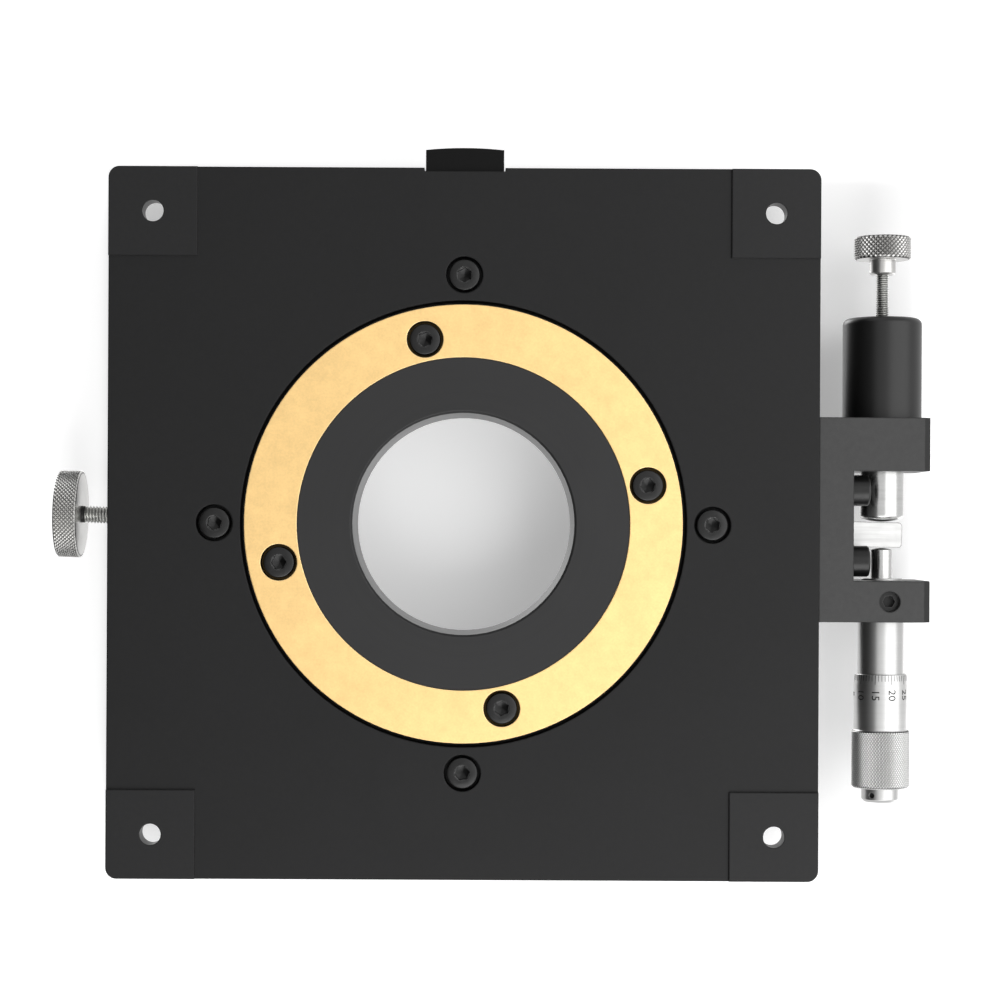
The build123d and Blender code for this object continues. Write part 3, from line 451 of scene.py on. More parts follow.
class Bench:
    """Modelling steps by hand, in millimetres about the Z axis, one piece at a time."""

    WELD = 0.0005
    NEAR = 0.001
    SMOOTH = 35.0
    THREAD_LEVELS = 8
    THREAD_DEPTH = 0.6
    THREAD_FLANK = 1.25
    THREAD_CREST = 0.125
    MOST_TURNS = 12

    @staticmethod
    def hold(*pieces: Piece) -> None:
        """Select these pieces alone, the first one active."""
        bpy.ops.object.select_all(action="DESELECT")
        for piece in pieces:
            piece.select_set(True)
        bpy.context.view_layer.objects.active = pieces[0]

    @staticmethod
    def clear(mesh: bpy.types.Mesh, kind: str) -> None:
        """Deselect a whole mesh, and select vertices, edges or faces from here on."""
        kinds = [kind == one for one in ("VERT", "EDGE", "FACE")]
        bpy.context.tool_settings.mesh_select_mode = kinds
        for parts in (mesh.vertices, mesh.edges, mesh.polygons):
            parts.foreach_set("select", [False] * len(parts))

    @staticmethod
    def add(name: str, primitive: Callable, **settings: object) -> Piece:
        """Add a primitive, name it and put its place in its mesh."""
        bpy.ops.object.select_all(action="DESELECT")
        primitive(**settings)
        piece = bpy.context.object
        piece.name = name
        bpy.ops.object.transform_apply(location=True, rotation=True, scale=True)
        return piece

    @staticmethod
    def carry(piece: Piece, place: Matrix) -> Piece:
        """Move a piece and put its place in its mesh."""
        piece.matrix_world = place
        Bench.hold(piece)
        bpy.ops.object.transform_apply(location=True, rotation=True, scale=True)
        return piece

    @staticmethod
    def weld() -> None:
        """Merge the active mesh's doubled vertices and point its faces outwards."""
        bpy.ops.mesh.select_all(action="SELECT")
        bpy.ops.mesh.remove_doubles(threshold=Bench.WELD)
        bpy.ops.mesh.normals_make_consistent(inside=False)

    @staticmethod
    def turned(
        name: str, profile: list[tuple[float, float]], count: int, hollow: bool = False
    ) -> Piece:
        """Turn a piece from a profile of radius and height.

        Args:
            name: the piece's name.
            profile: radius and height of each ring, in order.
            count: vertices round the piece.
            hollow: whether the profile closes on its own first ring.

        Returns:
            The closed piece.
        """
        radius, height = profile[0]
        piece = Bench.add(
            name, bpy.ops.mesh.primitive_circle_add, vertices=count, radius=radius,
            fill_type="NOTHING" if hollow else "NGON", location=(0, 0, height),
        )
        Bench.clear(piece.data, "VERT")
        with edit_mode():
            bpy.ops.mesh.select_all(action="SELECT")
            for next_radius, next_height in profile[1:] + profile[:1] * hollow:
                rise = {"value": (0, 0, next_height - height)}
                bpy.ops.mesh.extrude_region_move(TRANSFORM_OT_translate=rise)
                share = next_radius / radius
                middle = (0, 0, next_height)
                bpy.ops.transform.resize(value=(share, share, 1), center_override=middle)
                radius, height = next_radius, next_height
            Bench.weld()
        return piece

    @staticmethod
    def on_wall(point: Vector, radius: float, low: float, high: float) -> bool:
        """Whether a point lies on a wall of this radius, between two heights."""
        near = Bench.NEAR
        return abs(hypot(point.x, point.y) - radius) < near and low - near < point.z < high + near

    @staticmethod
    def divide(piece: Piece, low: float, high: float, radius: float, rows: int) -> None:
        """Cut the wall of one radius between two heights into rows of faces."""
        Bench.hold(piece)
        mesh = piece.data
        Bench.clear(mesh, "EDGE")
        for edge in mesh.edges:
            ends = sorted((mesh.vertices[v].co for v in edge.vertices), key=lambda end: end.z)
            edge.select = all(Bench.on_wall(end, radius, z, z) for end, z in zip(ends, (low, high)))
        with edit_mode():
            bpy.ops.mesh.subdivide(number_cuts=rows - 1)

    @staticmethod
    def sink(piece: Piece, chosen: list[int], share: float) -> None:
        """Scale the chosen vertices towards the Z axis."""
        Bench.hold(piece)
        Bench.clear(piece.data, "VERT")
        for place in chosen:
            piece.data.vertices[place].select = True
        with edit_mode():
            bpy.ops.transform.resize(value=(share, share, 1), center_override=(0, 0, 0))

    @staticmethod
    def knurl(
        piece: Piece, low: float, high: float, radius: float, rows: int, depth: float
    ) -> None:
        """Press a diamond knurl into a wall: every other crossing goes in.

        Args:
            piece: turned piece with an even count of vertices round it.
            low: height where the knurl starts.
            high: height where it ends.
            radius: radius of the wall, which the diamonds keep.
            rows: rows of crossings between the two heights.
            depth: depth of the grooves.
        """
        Bench.divide(piece, low, high, radius, rows)
        mesh = piece.data
        wall = [v for v in mesh.vertices if Bench.on_wall(v.co, radius, low, high)]
        count = len(wall) // (rows + 1)
        chosen = []
        for v in wall:
            column = round(atan2(v.co.y, v.co.x) / tau * count)
            row = round((v.co.z - low) / (high - low) * rows)
            if (column + row) % 2 == 0:
                chosen.append(v.index)
        Bench.sink(piece, chosen, (radius - depth) / radius)
        Bench.clear(mesh, "FACE")
        inmost, steepest = radius - depth - 0.01, 0.7
        for face in mesh.polygons:
            middle = face.center
            on_wall = hypot(middle.x, middle.y) > inmost and abs(face.normal.z) < steepest
            face.select = on_wall and low < middle.z < high
        with edit_mode():
            bpy.ops.mesh.quads_convert_to_tris(quad_method="SHORTEST_DIAGONAL")

    @staticmethod
    def spans(low: float, high: float, pitch: float) -> list[float]:
        """Heights that part a thread into stretches short enough to divide at once."""
        parts = max(1, round((high - low) / pitch / Bench.MOST_TURNS + 0.5))
        return [low + (high - low) * part / parts for part in range(parts + 1)]

    @staticmethod
    def thread(piece: Piece, heights: list[float], radius: float, pitch: float) -> None:
        """Cut a right-hand V thread into a wall.

        Args:
            piece: turned piece with a ring of vertices at each of the heights.
            heights: heights that part the thread, from spans.
            radius: outer radius, which the crests keep.
            pitch: rise in one turn.
        """
        levels = Bench.THREAD_LEVELS
        for low, high in zip(heights, heights[1:]):
            Bench.divide(piece, low, high, radius, round((high - low) / pitch * levels))
        low, high = heights[0], heights[-1]
        bins: dict[int, list[int]] = {}
        for v in piece.data.vertices:
            if Bench.on_wall(v.co, radius, low, high):
                phase = ((v.co.z - low) / pitch - atan2(v.co.y, v.co.x) / tau) % 1.0
                fall = Bench.THREAD_FLANK * abs(2 * phase - 1) - Bench.THREAD_CREST
                bins.setdefault(round(levels * min(1.0, max(0.0, fall))), []).append(v.index)
        depth = Bench.THREAD_DEPTH * pitch
        for level, chosen in bins.items():
            if level:
                Bench.sink(piece, chosen, (radius - depth * level / levels) / radius)

    @staticmethod
    def cut(piece: Piece, cutter: Piece) -> None:
        """Subtract a cutter from a piece and remove the cutter."""
        Bench.hold(piece)
        modifier = piece.modifiers.new("cut", "BOOLEAN")
        modifier.operation = "DIFFERENCE"
        modifier.solver = "EXACT"
        modifier.object = cutter
        bpy.ops.object.modifier_apply(modifier=modifier.name)
        bpy.data.objects.remove(cutter, do_unlink=True)

    @staticmethod
    def copies(piece: Piece, places: list[Matrix]) -> None:
        """Put one copy of a piece at each place and join them, under the first one's name."""
        Bench.hold(piece)
        others = []
        for _ in places[1:]:
            bpy.ops.object.duplicate(linked=False)
            others.append(bpy.context.object)
            Bench.hold(piece)
        for one, place in zip([piece, *others], places):
            Bench.carry(one, place)
        Bench.joined(piece.name, [piece, *others])

    @staticmethod
    def joined(name: str, pieces: list[Piece]) -> Piece:
        """Join pieces into the first one and name it."""
        Bench.hold(*pieces)
        if len(pieces) > 1:
            bpy.ops.object.join()
        pieces[0].name = name
        return pieces[0]


class Finisher:
    """Makes each finish's material once, and settles and dresses pieces."""

    PART_BLEND = 0.00004

    def __init__(self) -> None:
        """Start with the shared effects and no materials."""
        self.effects = Effects()
        self.made: dict[str, bpy.types.Material] = {}

    def deliver(
        self, piece: Piece, place: Matrix, finish: Finish, body: str = "",
        node: str = "", angle: float = Bench.SMOOTH,
    ) -> None:
        """Settle and dress a piece, and say what it rides and stands for.

        Args:
            piece: the finished piece, in millimetres.
            place: where its own origin and Z axis go, in metres.
            finish: its finish, all over.
            body: the body that it rides, if it rides one alone.
            node: the CAD node that it replaces, if any.
            angle: sharpest corner in degrees that is still shaded smooth.
        """
        Bench.carry(piece, place @ Matrix.Scale(MM, 4))
        bpy.ops.object.shade_smooth_by_angle(angle=radians(angle))
        self.apply(piece, finish)
        if body:
            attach(piece, body)
        if node:
            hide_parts(node)

    def apply(self, piece: Piece, finish: Finish) -> None:
        """Give a piece one finish all over."""
        if finish.name not in self.made:
            self.made[finish.name] = self._build(finish)
        piece.data.materials.clear()
        piece.data.materials.append(self.made[finish.name])

    def _coordinates(self, tree: Tree, finish: Finish) -> tuple[Socket, Socket]:
        """Plain object coordinates, and those that the tool marks follow."""
        plain = tree.add("TexCoord").outputs["Object"]
        if finish.lay is Lay.TURNED:
            lathe = finish.lathe
            turned = tree.place(
                self.effects.turned, Vector=plain, Centre=lathe.centre, Axis=lathe.axis
            )
            return plain, turned["Vector"]
        stretch = tree.add("Mapping", {"Vector": plain, "Scale": finish.lay.value})
        return plain, stretch.outputs["Vector"]

    def _build(self, finish: Finish) -> bpy.types.Material:
        """Build the node tree of one finish."""
        material = bpy.data.materials.new(finish.name)
        material.use_nodes = True
        tree = Tree(material.node_tree)
        plain, followed = self._coordinates(tree, finish)
        marks = tree.place(self.effects.marks, Vector=followed, Size=finish.mark_size)
        handling = tree.place(
            self.effects.handling, Vector=plain, Size=finish.smudge_size,
            Roughness=finish.roughness, Amount=finish.smudge,
        )
        edges = tree.place(
            self.effects.edges, Vector=plain, Radius=finish.edge_radius, Wear=finish.edge_wear_and_light
        )
        swing = tree.mapped(marks["Tone"], (1.0 - finish.mark_tone, 1.0 + finish.mark_tone))
        colour = tree.scaled(tree.scaled(finish.colour, swing), handling["Tone"])
        if finish.part_below != finish.part_above:
            colour = tree.scaled(colour, self._parted(tree, plain, finish))
        # edge band: wear, painted highlights and painted shade, depending on the finish
        edge_band = {"Factor": edges["Mask"], "A": colour, "B": (*finish.edge_colour, 1.0)}
        colour = tree.add("Mix", edge_band, data_type="RGBA").outputs["Result"]
        # painted shade in the grooves of knurls and threads
        if finish.groove_radius > 0:
            grooves = tree.place(
                self.effects.grooves, Vector=followed, Radius=finish.groove_radius,
                Depth=finish.groove_depth, Grime=finish.groove_shade,
            )
            colour = tree.scaled(colour, grooves["Tone"])
        relief = {"Height": marks["Height"], "Normal": edges["Normal"]}
        bump = tree.add("Bump", {"Distance": finish.mark_relief, **relief})
        shader = material.node_tree.nodes["Principled BSDF"]
        wanted = {
            "Base Color": colour, "Metallic": finish.metallic, "Roughness": handling["Roughness"],
            "Specular IOR Level": finish.specular, "Normal": bump.outputs["Normal"],
        }
        for label, value in wanted.items():
            tree.feed(shader.inputs[label], value)
        return material

    def _parted(self, tree: Tree, plain: Socket, finish: Finish) -> Socket:
        """Tone that differs below and above one plane; on some finishes it is painted shade."""
        blend = (finish.part_at - self.PART_BLEND, finish.part_at + self.PART_BLEND)
        along = tree.axes(plain)[finish.part_axis]
        return tree.mapped(along, (finish.part_below, finish.part_above), blend)


@dataclass
class CapScrews:
    """Socket head cap screws of one size, all in one node of the CAD model."""

    node: str
    body: str
    seats: list[Point]
    direction: Point
    turns: list[float]
    shank_radius: float = 2.0
    head_radius: float = 3.5
    head_height: float = 4.0
    length: float = 12.0
    hexagon: float = 3.0
    socket_depth: float = 2.0
    finish: Finish = SCREW_BLACK
    head_edge: Rings = ((0.45, 0.0), (0.18, 0.1), (0.0, 0.4))
    seat_chamfer: float = 0.12
    point_chamfer: float = 0.4
    rim_width: float = 1.05
    rim_depth: float = 0.15
    drill_slope: float = 0.45
    reach: float = 1.0
    count: int = 48
    smooth: float = 30.0

    def build(self, shop: Finisher) -> list[Piece]:
        """Model one screw, copy it to every seat and dress the group."""
        head, top = self.head_radius, -self.head_height
        screw = Bench.turned(
            self.node + "_piece",
            [
                *((head - inwards, top + down) for inwards, down in self.head_edge),
                (head, -self.seat_chamfer),
                (head - self.seat_chamfer, 0.0),
                (self.shank_radius, 0.0),
                (self.shank_radius, self.length - self.point_chamfer),
                (self.shank_radius - self.point_chamfer, self.length),
            ],
            self.count,
        )
        self._socket(screw)
        way = facing((0, 0, 0), Vector(self.direction))
        places = [
            Matrix.Translation(seat) @ way @ about_z(turn)
            for seat, turn in zip(self.seats, self.turns)
        ]
        Bench.copies(screw, places)
        shop.deliver(
            screw, Matrix.Identity(4), self.finish, self.body, self.node, self.smooth
        )
        return [screw]

    def _socket(self, screw: Piece) -> None:
        """Cut the hexagon socket, with a drilled bottom and a chamfered rim, into the head."""
        top = -self.head_height
        corner = self.hexagon / 2 / cos(pi / 6)
        floor = top + self.socket_depth
        tip = (0.05, floor + self.drill_slope * corner)
        hexagon = [(corner, top - self.reach), (corner, floor), tip]
        Bench.cut(screw, Bench.turned("socket", hexagon, 6))
        rim = [(corner + self.rim_width, top - self.reach), (corner - 0.1, top + self.rim_depth)]
        Bench.cut(screw, Bench.turned("rim", rim, self.count))
        Bench.hold(screw)
        with edit_mode():
            Bench.weld()


@dataclass
class ThumbScrew:
    """Threaded screw with a knurled knob on its end.

    Each profile gives radius and height of its rings, with heights outwards from the stage's
    middle along the screw's own axis.
    """

    name: str
    centre: Point
    direction: Point
    thread_finish: Finish
    knob_finish: Finish
    radius: float
    pitch: float
    tip: Rings
    threaded: tuple[float, float]
    core: Rings
    knob_radius: float
    inner_face: Rings
    knurled: tuple[float, float]
    outer_face: Rings
    knob_count: int
    knurl_rows: int
    neck_ring: Rings = ()
    knurl_depth: float = 0.42
    count: int = 40

    def build(self, shop: Finisher) -> list[Piece]:
        """Model and dress the screw, its dark neck ring if it has one, and the knob."""
        name, body = self.name, self.name + "_body"
        place = facing(self.centre, Vector(self.direction))
        pieces = [self._screw()]
        shop.deliver(pieces[0], place, self.thread_finish, body, name + "_screw")
        if self.neck_ring:
            ring = Bench.turned(name + "_neck_ring", list(self.neck_ring), self.count, hollow=True)
            shop.deliver(ring, place, BLACK_RING, body)
            pieces.append(ring)
        knob = self._knob()
        shop.deliver(knob, place, self.knob_finish, body, name + "_knob")
        return [*pieces, knob]

    def _screw(self) -> Piece:
        """Turn the screw and cut its thread."""
        heights = Bench.spans(*self.threaded, self.pitch)
        wall = [(self.radius, height) for height in heights]
        profile = [*self.tip, *wall, *self.core]
        screw = Bench.turned(self.name + "_screw_threaded", profile, self.count)
        Bench.thread(screw, heights, self.radius, self.pitch)
        return screw

    def _knob(self) -> Piece:
        """Turn the knob and knurl its rim."""
        rim = [(self.knob_radius, height) for height in self.knurled]
        profile = [*self.inner_face, *rim, *self.outer_face]
        knob = Bench.turned(self.name + "_knob_knurled", profile, self.knob_count)
        Bench.knurl(knob, *self.knurled, self.knob_radius, self.knurl_rows, self.knurl_depth)
        return knob


LOCK_KNOB = ThumbScrew(
    "lock", LOCK_LATHE.centre, tuple(-part for part in LOCK_LATHE.axis), LOCK_THREAD, LOCK_NICKEL,
    radius=2.0, pitch=0.7,
    tip=((1.2, 48.9), (1.5, 49.3)),
    threaded=(48.9 + 0.8, 87.7 - 0.75 - 0.1),  # tip and taper; neck less ring and groove
    core=((1.62, 86.95), (1.62, 90.7)),
    neck_ring=((1.66, 86.95), (1.8, 86.95), (1.92, 87.07), (1.92, 87.68), (1.66, 87.68)),
    knob_radius=10.0,
    inner_face=((2.05, 87.7), (9.45, 87.7), (9.8, 87.8)),
    knurled=(88.05, 92.55),
    outer_face=((9.65, 92.9), (7.4, 92.9), (7.2, 92.65), (0.6, 92.55)),
    knob_count=128, knurl_rows=10,
)
PRELOAD_KNOB = ThumbScrew(
    "preload", DRIVE_LATHE.centre, (0, -1, 0), PRELOAD_THREAD, PRELOAD_NICKEL,
    radius=1.5, pitch=0.5,
    tip=((1.1, 42.05),),
    threaded=(42.05 + 0.4, 57.7 + 0.1),  # tip and taper; hub and the start of its bore
    core=((1.25, 58.05), (1.25, 62.7)),
    knob_radius=6.5,
    inner_face=(
        (1.52, 57.9), (1.75, 57.7), (2.65, 57.7), (3.0, 58.05), (3.0, 61.05), (3.15, 61.2),
        (6.0, 61.2),
    ),
    knurled=(61.65, 65.85),
    outer_face=((6.05, 66.3), (4.6, 66.3), (4.4, 66.1), (0.5, 66.05)),
    knob_count=72, knurl_rows=8,
)


@dataclass
class ReturnSpring:
    """Coil between the spring seat and the plunger's collar."""

    node: str = "plunger_spring"
    wire_radius: float = 0.4
    wire_count: int = 14
    mean_radius: float = 5.0
    turns: int = 4
    turn_count: int = 36
    clearance: float = 0.02

    def build(self, shop: Finisher) -> list[Piece]:
        """Wind the coil inside its CAD box."""
        low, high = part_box(self.node)
        start, end = low[1] / MM + self.clearance, high[1] / MM - self.clearance
        middle = [(one + other) / 2 for one, other in zip(low, high)]
        coil = Bench.add(
            "plunger_spring_coil", bpy.ops.mesh.primitive_circle_add, vertices=self.wire_count,
            radius=self.wire_radius, location=(self.mean_radius, 0, 0), rotation=(pi / 2, 0, 0),
        )
        winding = coil.modifiers.new("winding", "SCREW")
        winding.angle = tau * self.turns
        winding.screw_offset = end - start - 2 * self.wire_radius
        winding.steps = winding.render_steps = self.turn_count * self.turns
        bpy.ops.object.modifier_apply(modifier=winding.name)
        Bench.clear(coil.data, "VERT")
        with edit_mode():
            bpy.ops.mesh.select_all(action="DESELECT")
            bpy.ops.mesh.select_non_manifold()
            bpy.ops.mesh.fill_holes(sides=0)
            bpy.ops.mesh.select_all(action="SELECT")
            bpy.ops.mesh.normals_make_consistent(inside=False)
        foot = (middle[0], (start + self.wire_radius) * MM, middle[2])
        place = facing(foot, Vector((0, 1, 0)))
        shop.deliver(coil, place, SPRING_STEEL, node=self.node)
        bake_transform(coil)
        return [coil]


class Script:
    """Short engraved marks: ticks and numbers, as thin closed fillings."""

    CAP_HEIGHT = 0.7
    TICK_THICKNESS = 0.03
    NUMBER_THICKNESS = 0.015

    @staticmethod
    def tick(length: float, width: float, name: str = "tick") -> Piece:
        """Model one tick from the origin along X, its top slightly narrowed."""
        piece = Bench.add(name, bpy.ops.mesh.primitive_plane_add, size=1.0, location=(0, 0, 0))
        place = Matrix.Translation((length / 2, 0, -Script.TICK_THICKNESS))
        Bench.carry(piece, place @ Matrix.Diagonal((length, width, 1, 1)))
        rise = {"value": (0, 0, Script.TICK_THICKNESS)}
        with edit_mode():
            bpy.ops.mesh.select_all(action="SELECT")
            bpy.ops.mesh.extrude_region_move(TRANSFORM_OT_translate=rise)
            bpy.ops.transform.resize(value=(0.995, 0.9, 1), center_override=(length / 2, 0, 0))
            bpy.ops.mesh.select_all(action="SELECT")
            bpy.ops.mesh.normals_make_consistent(inside=False)
        return piece

    @staticmethod
    def number(value: int, height: float, narrow: float) -> Piece:
        """Model one number as a thin closed mesh, centred on the origin."""
        bpy.ops.object.select_all(action="DESELECT")
        bpy.ops.object.text_add(location=(0, 0, 0))
        text = bpy.context.object.data
        text.body = str(value)
        text.size = height / Script.CAP_HEIGHT
        text.align_x = text.align_y = "CENTER"
        text.extrude = Script.NUMBER_THICKNESS
        text.resolution_u = 3
        bpy.context.object.scale = (narrow, 1, 1)
        bpy.ops.object.convert(target="MESH")
        bpy.ops.object.transform_apply(location=True, rotation=True, scale=True)
        piece = bpy.context.object
        with edit_mode():
            bpy.ops.mesh.select_all(action="SELECT")
            bpy.ops.mesh.remove_doubles(threshold=Bench.WELD)
            bpy.ops.mesh.quads_convert_to_tris()
            bpy.ops.mesh.subdivide(number_cuts=2)
            bpy.ops.mesh.normals_make_consistent(inside=False)
        return piece

    @staticmethod
    def wrapped(piece: Piece, radius: float) -> Piece:
        """Bend a flat piece round X like a cylinder's skin, its origin still on the surface."""
        for vertex in piece.data.vertices:
            angle = vertex.co.y / radius
            rise = radius + vertex.co.z
            vertex.co.y = rise * sin(angle)
            vertex.co.z = rise * cos(angle) - radius
        return piece


@dataclass
class Micrometer:
    """Micrometer head: knurled thimble with its scale, and the scale on the sleeve."""

    axis_x: float = 96.0
    height: float = 13.0
    start: float = 33.9
    lip_length: float = 2.6
    lip_radius: float = 5.8
    radius: float = 6.1
    lip: Rings = (
        (5.35, 34.0), (5.68, 33.9), (5.8, 34.02), (6.1, 36.5), (6.1, 46.65), (6.22, 46.75),
    )
    knurled: tuple[float, float] = (47.2, 59.5)
    knurl_radius: float = 6.6
    knurl_rows: int = 28
    knurl_depth: float = 0.2
    back: Rings = ((6.1, 60.0), (2.55, 60.0), (2.55, 54.6), (5.35, 54.6))
    count: int = 128
    divisions: int = 50
    major_every: int = 5
    zero_turn: float = -129.0
    thimble_tick: tuple[float, float] = (1.35, 0.11)
    thimble_major: tuple[float, float] = (2.1, 0.13)
    tick_start: float = 0.16
    tick_lift: float = 0.032
    number_start: float = 4.65
    number_height: float = 1.75
    number_width: float = 1.05
    sleeve_radius: float = 5.25
    sleeve_start: float = 21.7
    sleeve_steps: int = 27
    sleeve_zero: float = 26.9
    sleeve_hidden: float = 2.0
    sleeve_turn: float = 180.0
    sleeve_lift: float = 0.01
    sleeve_number: tuple[float, float] = (1.5, 0.85)
    line_margin: float = 1.2
    line_width: float = 0.1
    cap_radius: float = 4.25
    # black plug in the cap's radial hole: painted shade
    hole_shade_plug: Rings = ((0.54, 0.0), (0.64, 0.05), (0.64, 0.5), (0.1, 0.35))
    hole_depth: float = 0.75
    hole_at: float = 61.6
    hole_turn: float = -36.0
    hole_count: int = 24

    def build(self, shop: Finisher) -> list[Piece]:
        """Model and dress the thimble, the painted shade in the cap's hole and both scales."""
        along_y = Matrix(((1, 0, 0), (0, 0, 1), (0, -1, 0))).to_4x4()
        place = Matrix.Translation((self.axis_x * MM, 0, self.height * MM)) @ along_y
        thimble, hole = self._thimble(), self._spanner_hole_shade()
        scale, sleeve_scale = self._thimble_scale(), self._sleeve_scale()
        shop.deliver(thimble, place, THIMBLE_CHROME, "thimble_body", "thimble")
        # black plug: painted shade in the cap's radial hole
        shop.deliver(hole, place, BLACK_RING, "thimble_body")
        shop.deliver(scale, place, BLACK_FILL, "thimble_body")
        shop.deliver(sleeve_scale, place, BLACK_FILL, "base")
        return [thimble, hole, scale, sleeve_scale]

    def _spanner_hole_shade(self) -> Piece:
        """Black plug inside the radial hole of the end cap: painted shade for the hole's depth."""
        plug = Bench.turned("cap_hole_shade_plug", list(self.hole_shade_plug), self.hole_count)
        outwards = Matrix(((0, 0, 1), (0, 1, 0), (-1, 0, 0))).to_4x4()
        bottom = Matrix.Translation((self.cap_radius - self.hole_depth, 0, self.hole_at))
        return Bench.carry(plug, about_z(90.0 - self.hole_turn) @ bottom @ outwards)

    def _thimble(self) -> Piece:
        """Turn the hollow thimble and knurl its thick end."""
        grip = [(self.knurl_radius, height) for height in self.knurled]
        profile = [*self.lip, *grip, *self.back]
        thimble = Bench.turned("thimble_knurled", profile, self.count, hollow=True)
        Bench.knurl(thimble, *self.knurled, self.knurl_radius, self.knurl_rows, self.knurl_depth)
        return thimble

    @staticmethod
    def _around(
        piece: Piece, turn: float, along: float, radius: float, slope: float = 0.0
    ) -> Piece:
        """Carry a mark, X along the axis, to its turn round the thimble.

        Args:
            piece: the mark, its origin on the surface.
            turn: degrees from straight down towards +X.
            along: height along the axis of the mark's own origin.
            radius: radius of the surface at that height.
            slope: rise of the surface, in radians.

        Returns:
            The mark.
        """
        down = Matrix(((0, 0, 1), (0, -1, 0), (1, 0, 0))).to_4x4()
        tilt = Matrix.Rotation(-slope, 4, "Y")
        spot = Matrix.Translation((radius, 0, along))
        return Bench.carry(piece, about_z(90.0 - turn) @ spot @ down @ tilt)

    def _thimble_scale(self) -> Piece:
        """Fifty ticks on the coned lip and a number at each fifth."""
        slope = atan2(self.radius - self.lip_radius, self.lip_length)
        marks = []
        for division in range(self.divisions):
            major = division % self.major_every == 0
            turn = self.zero_turn + division * 360.0 / self.divisions
            tick = Script.tick(*(self.thimble_major if major else self.thimble_tick))
            foot = self.start + self.tick_start
            marks.append(self._around(tick, turn, foot, self.lip_radius + self.tick_lift, slope))
            if major:
                number = Script.number(division, self.number_height, self.number_width)
                Script.wrapped(number, self.radius)
                foot = self.start + self.number_start
                marks.append(self._around(number, turn, foot, self.radius))
        return Bench.joined("thimble_scale", marks)

    def _sleeve_scale(self) -> Piece:
        """Index line with half-millimetre ticks on the sleeve's upper side."""
        surface = self.sleeve_radius + self.sleeve_lift
        foot, end = self.sleeve_start + self.line_margin, self.start + self.sleeve_hidden
        line = Script.tick(end - foot, self.line_width, "index_line")
        marks = [self._around(line, self.sleeve_turn, foot, surface)]
        for step in range(self.sleeve_steps):
            along = self.sleeve_zero + 0.5 * step
            if self.sleeve_start + 1.0 < along < end:
                tick = Script.tick(1.5 if step % 10 == 0 else 1.1, self.line_width)
                Bench.carry(tick, about_z(90.0 if step % 2 == 0 else -90.0))
                Script.wrapped(tick, self.sleeve_radius)
                marks.append(self._around(tick, self.sleeve_turn, along, surface))
            if step in (0, 10):
                number = Script.number(step // 2, *self.sleeve_number)
                Bench.carry(number, Matrix.Translation((0, 2.5, 0)) @ about_z(90.0))
                Script.wrapped(number, self.sleeve_radius)
                marks.append(self._around(number, self.sleeve_turn, along, self.sleeve_radius))
        return Bench.joined("sleeve_scale", marks)


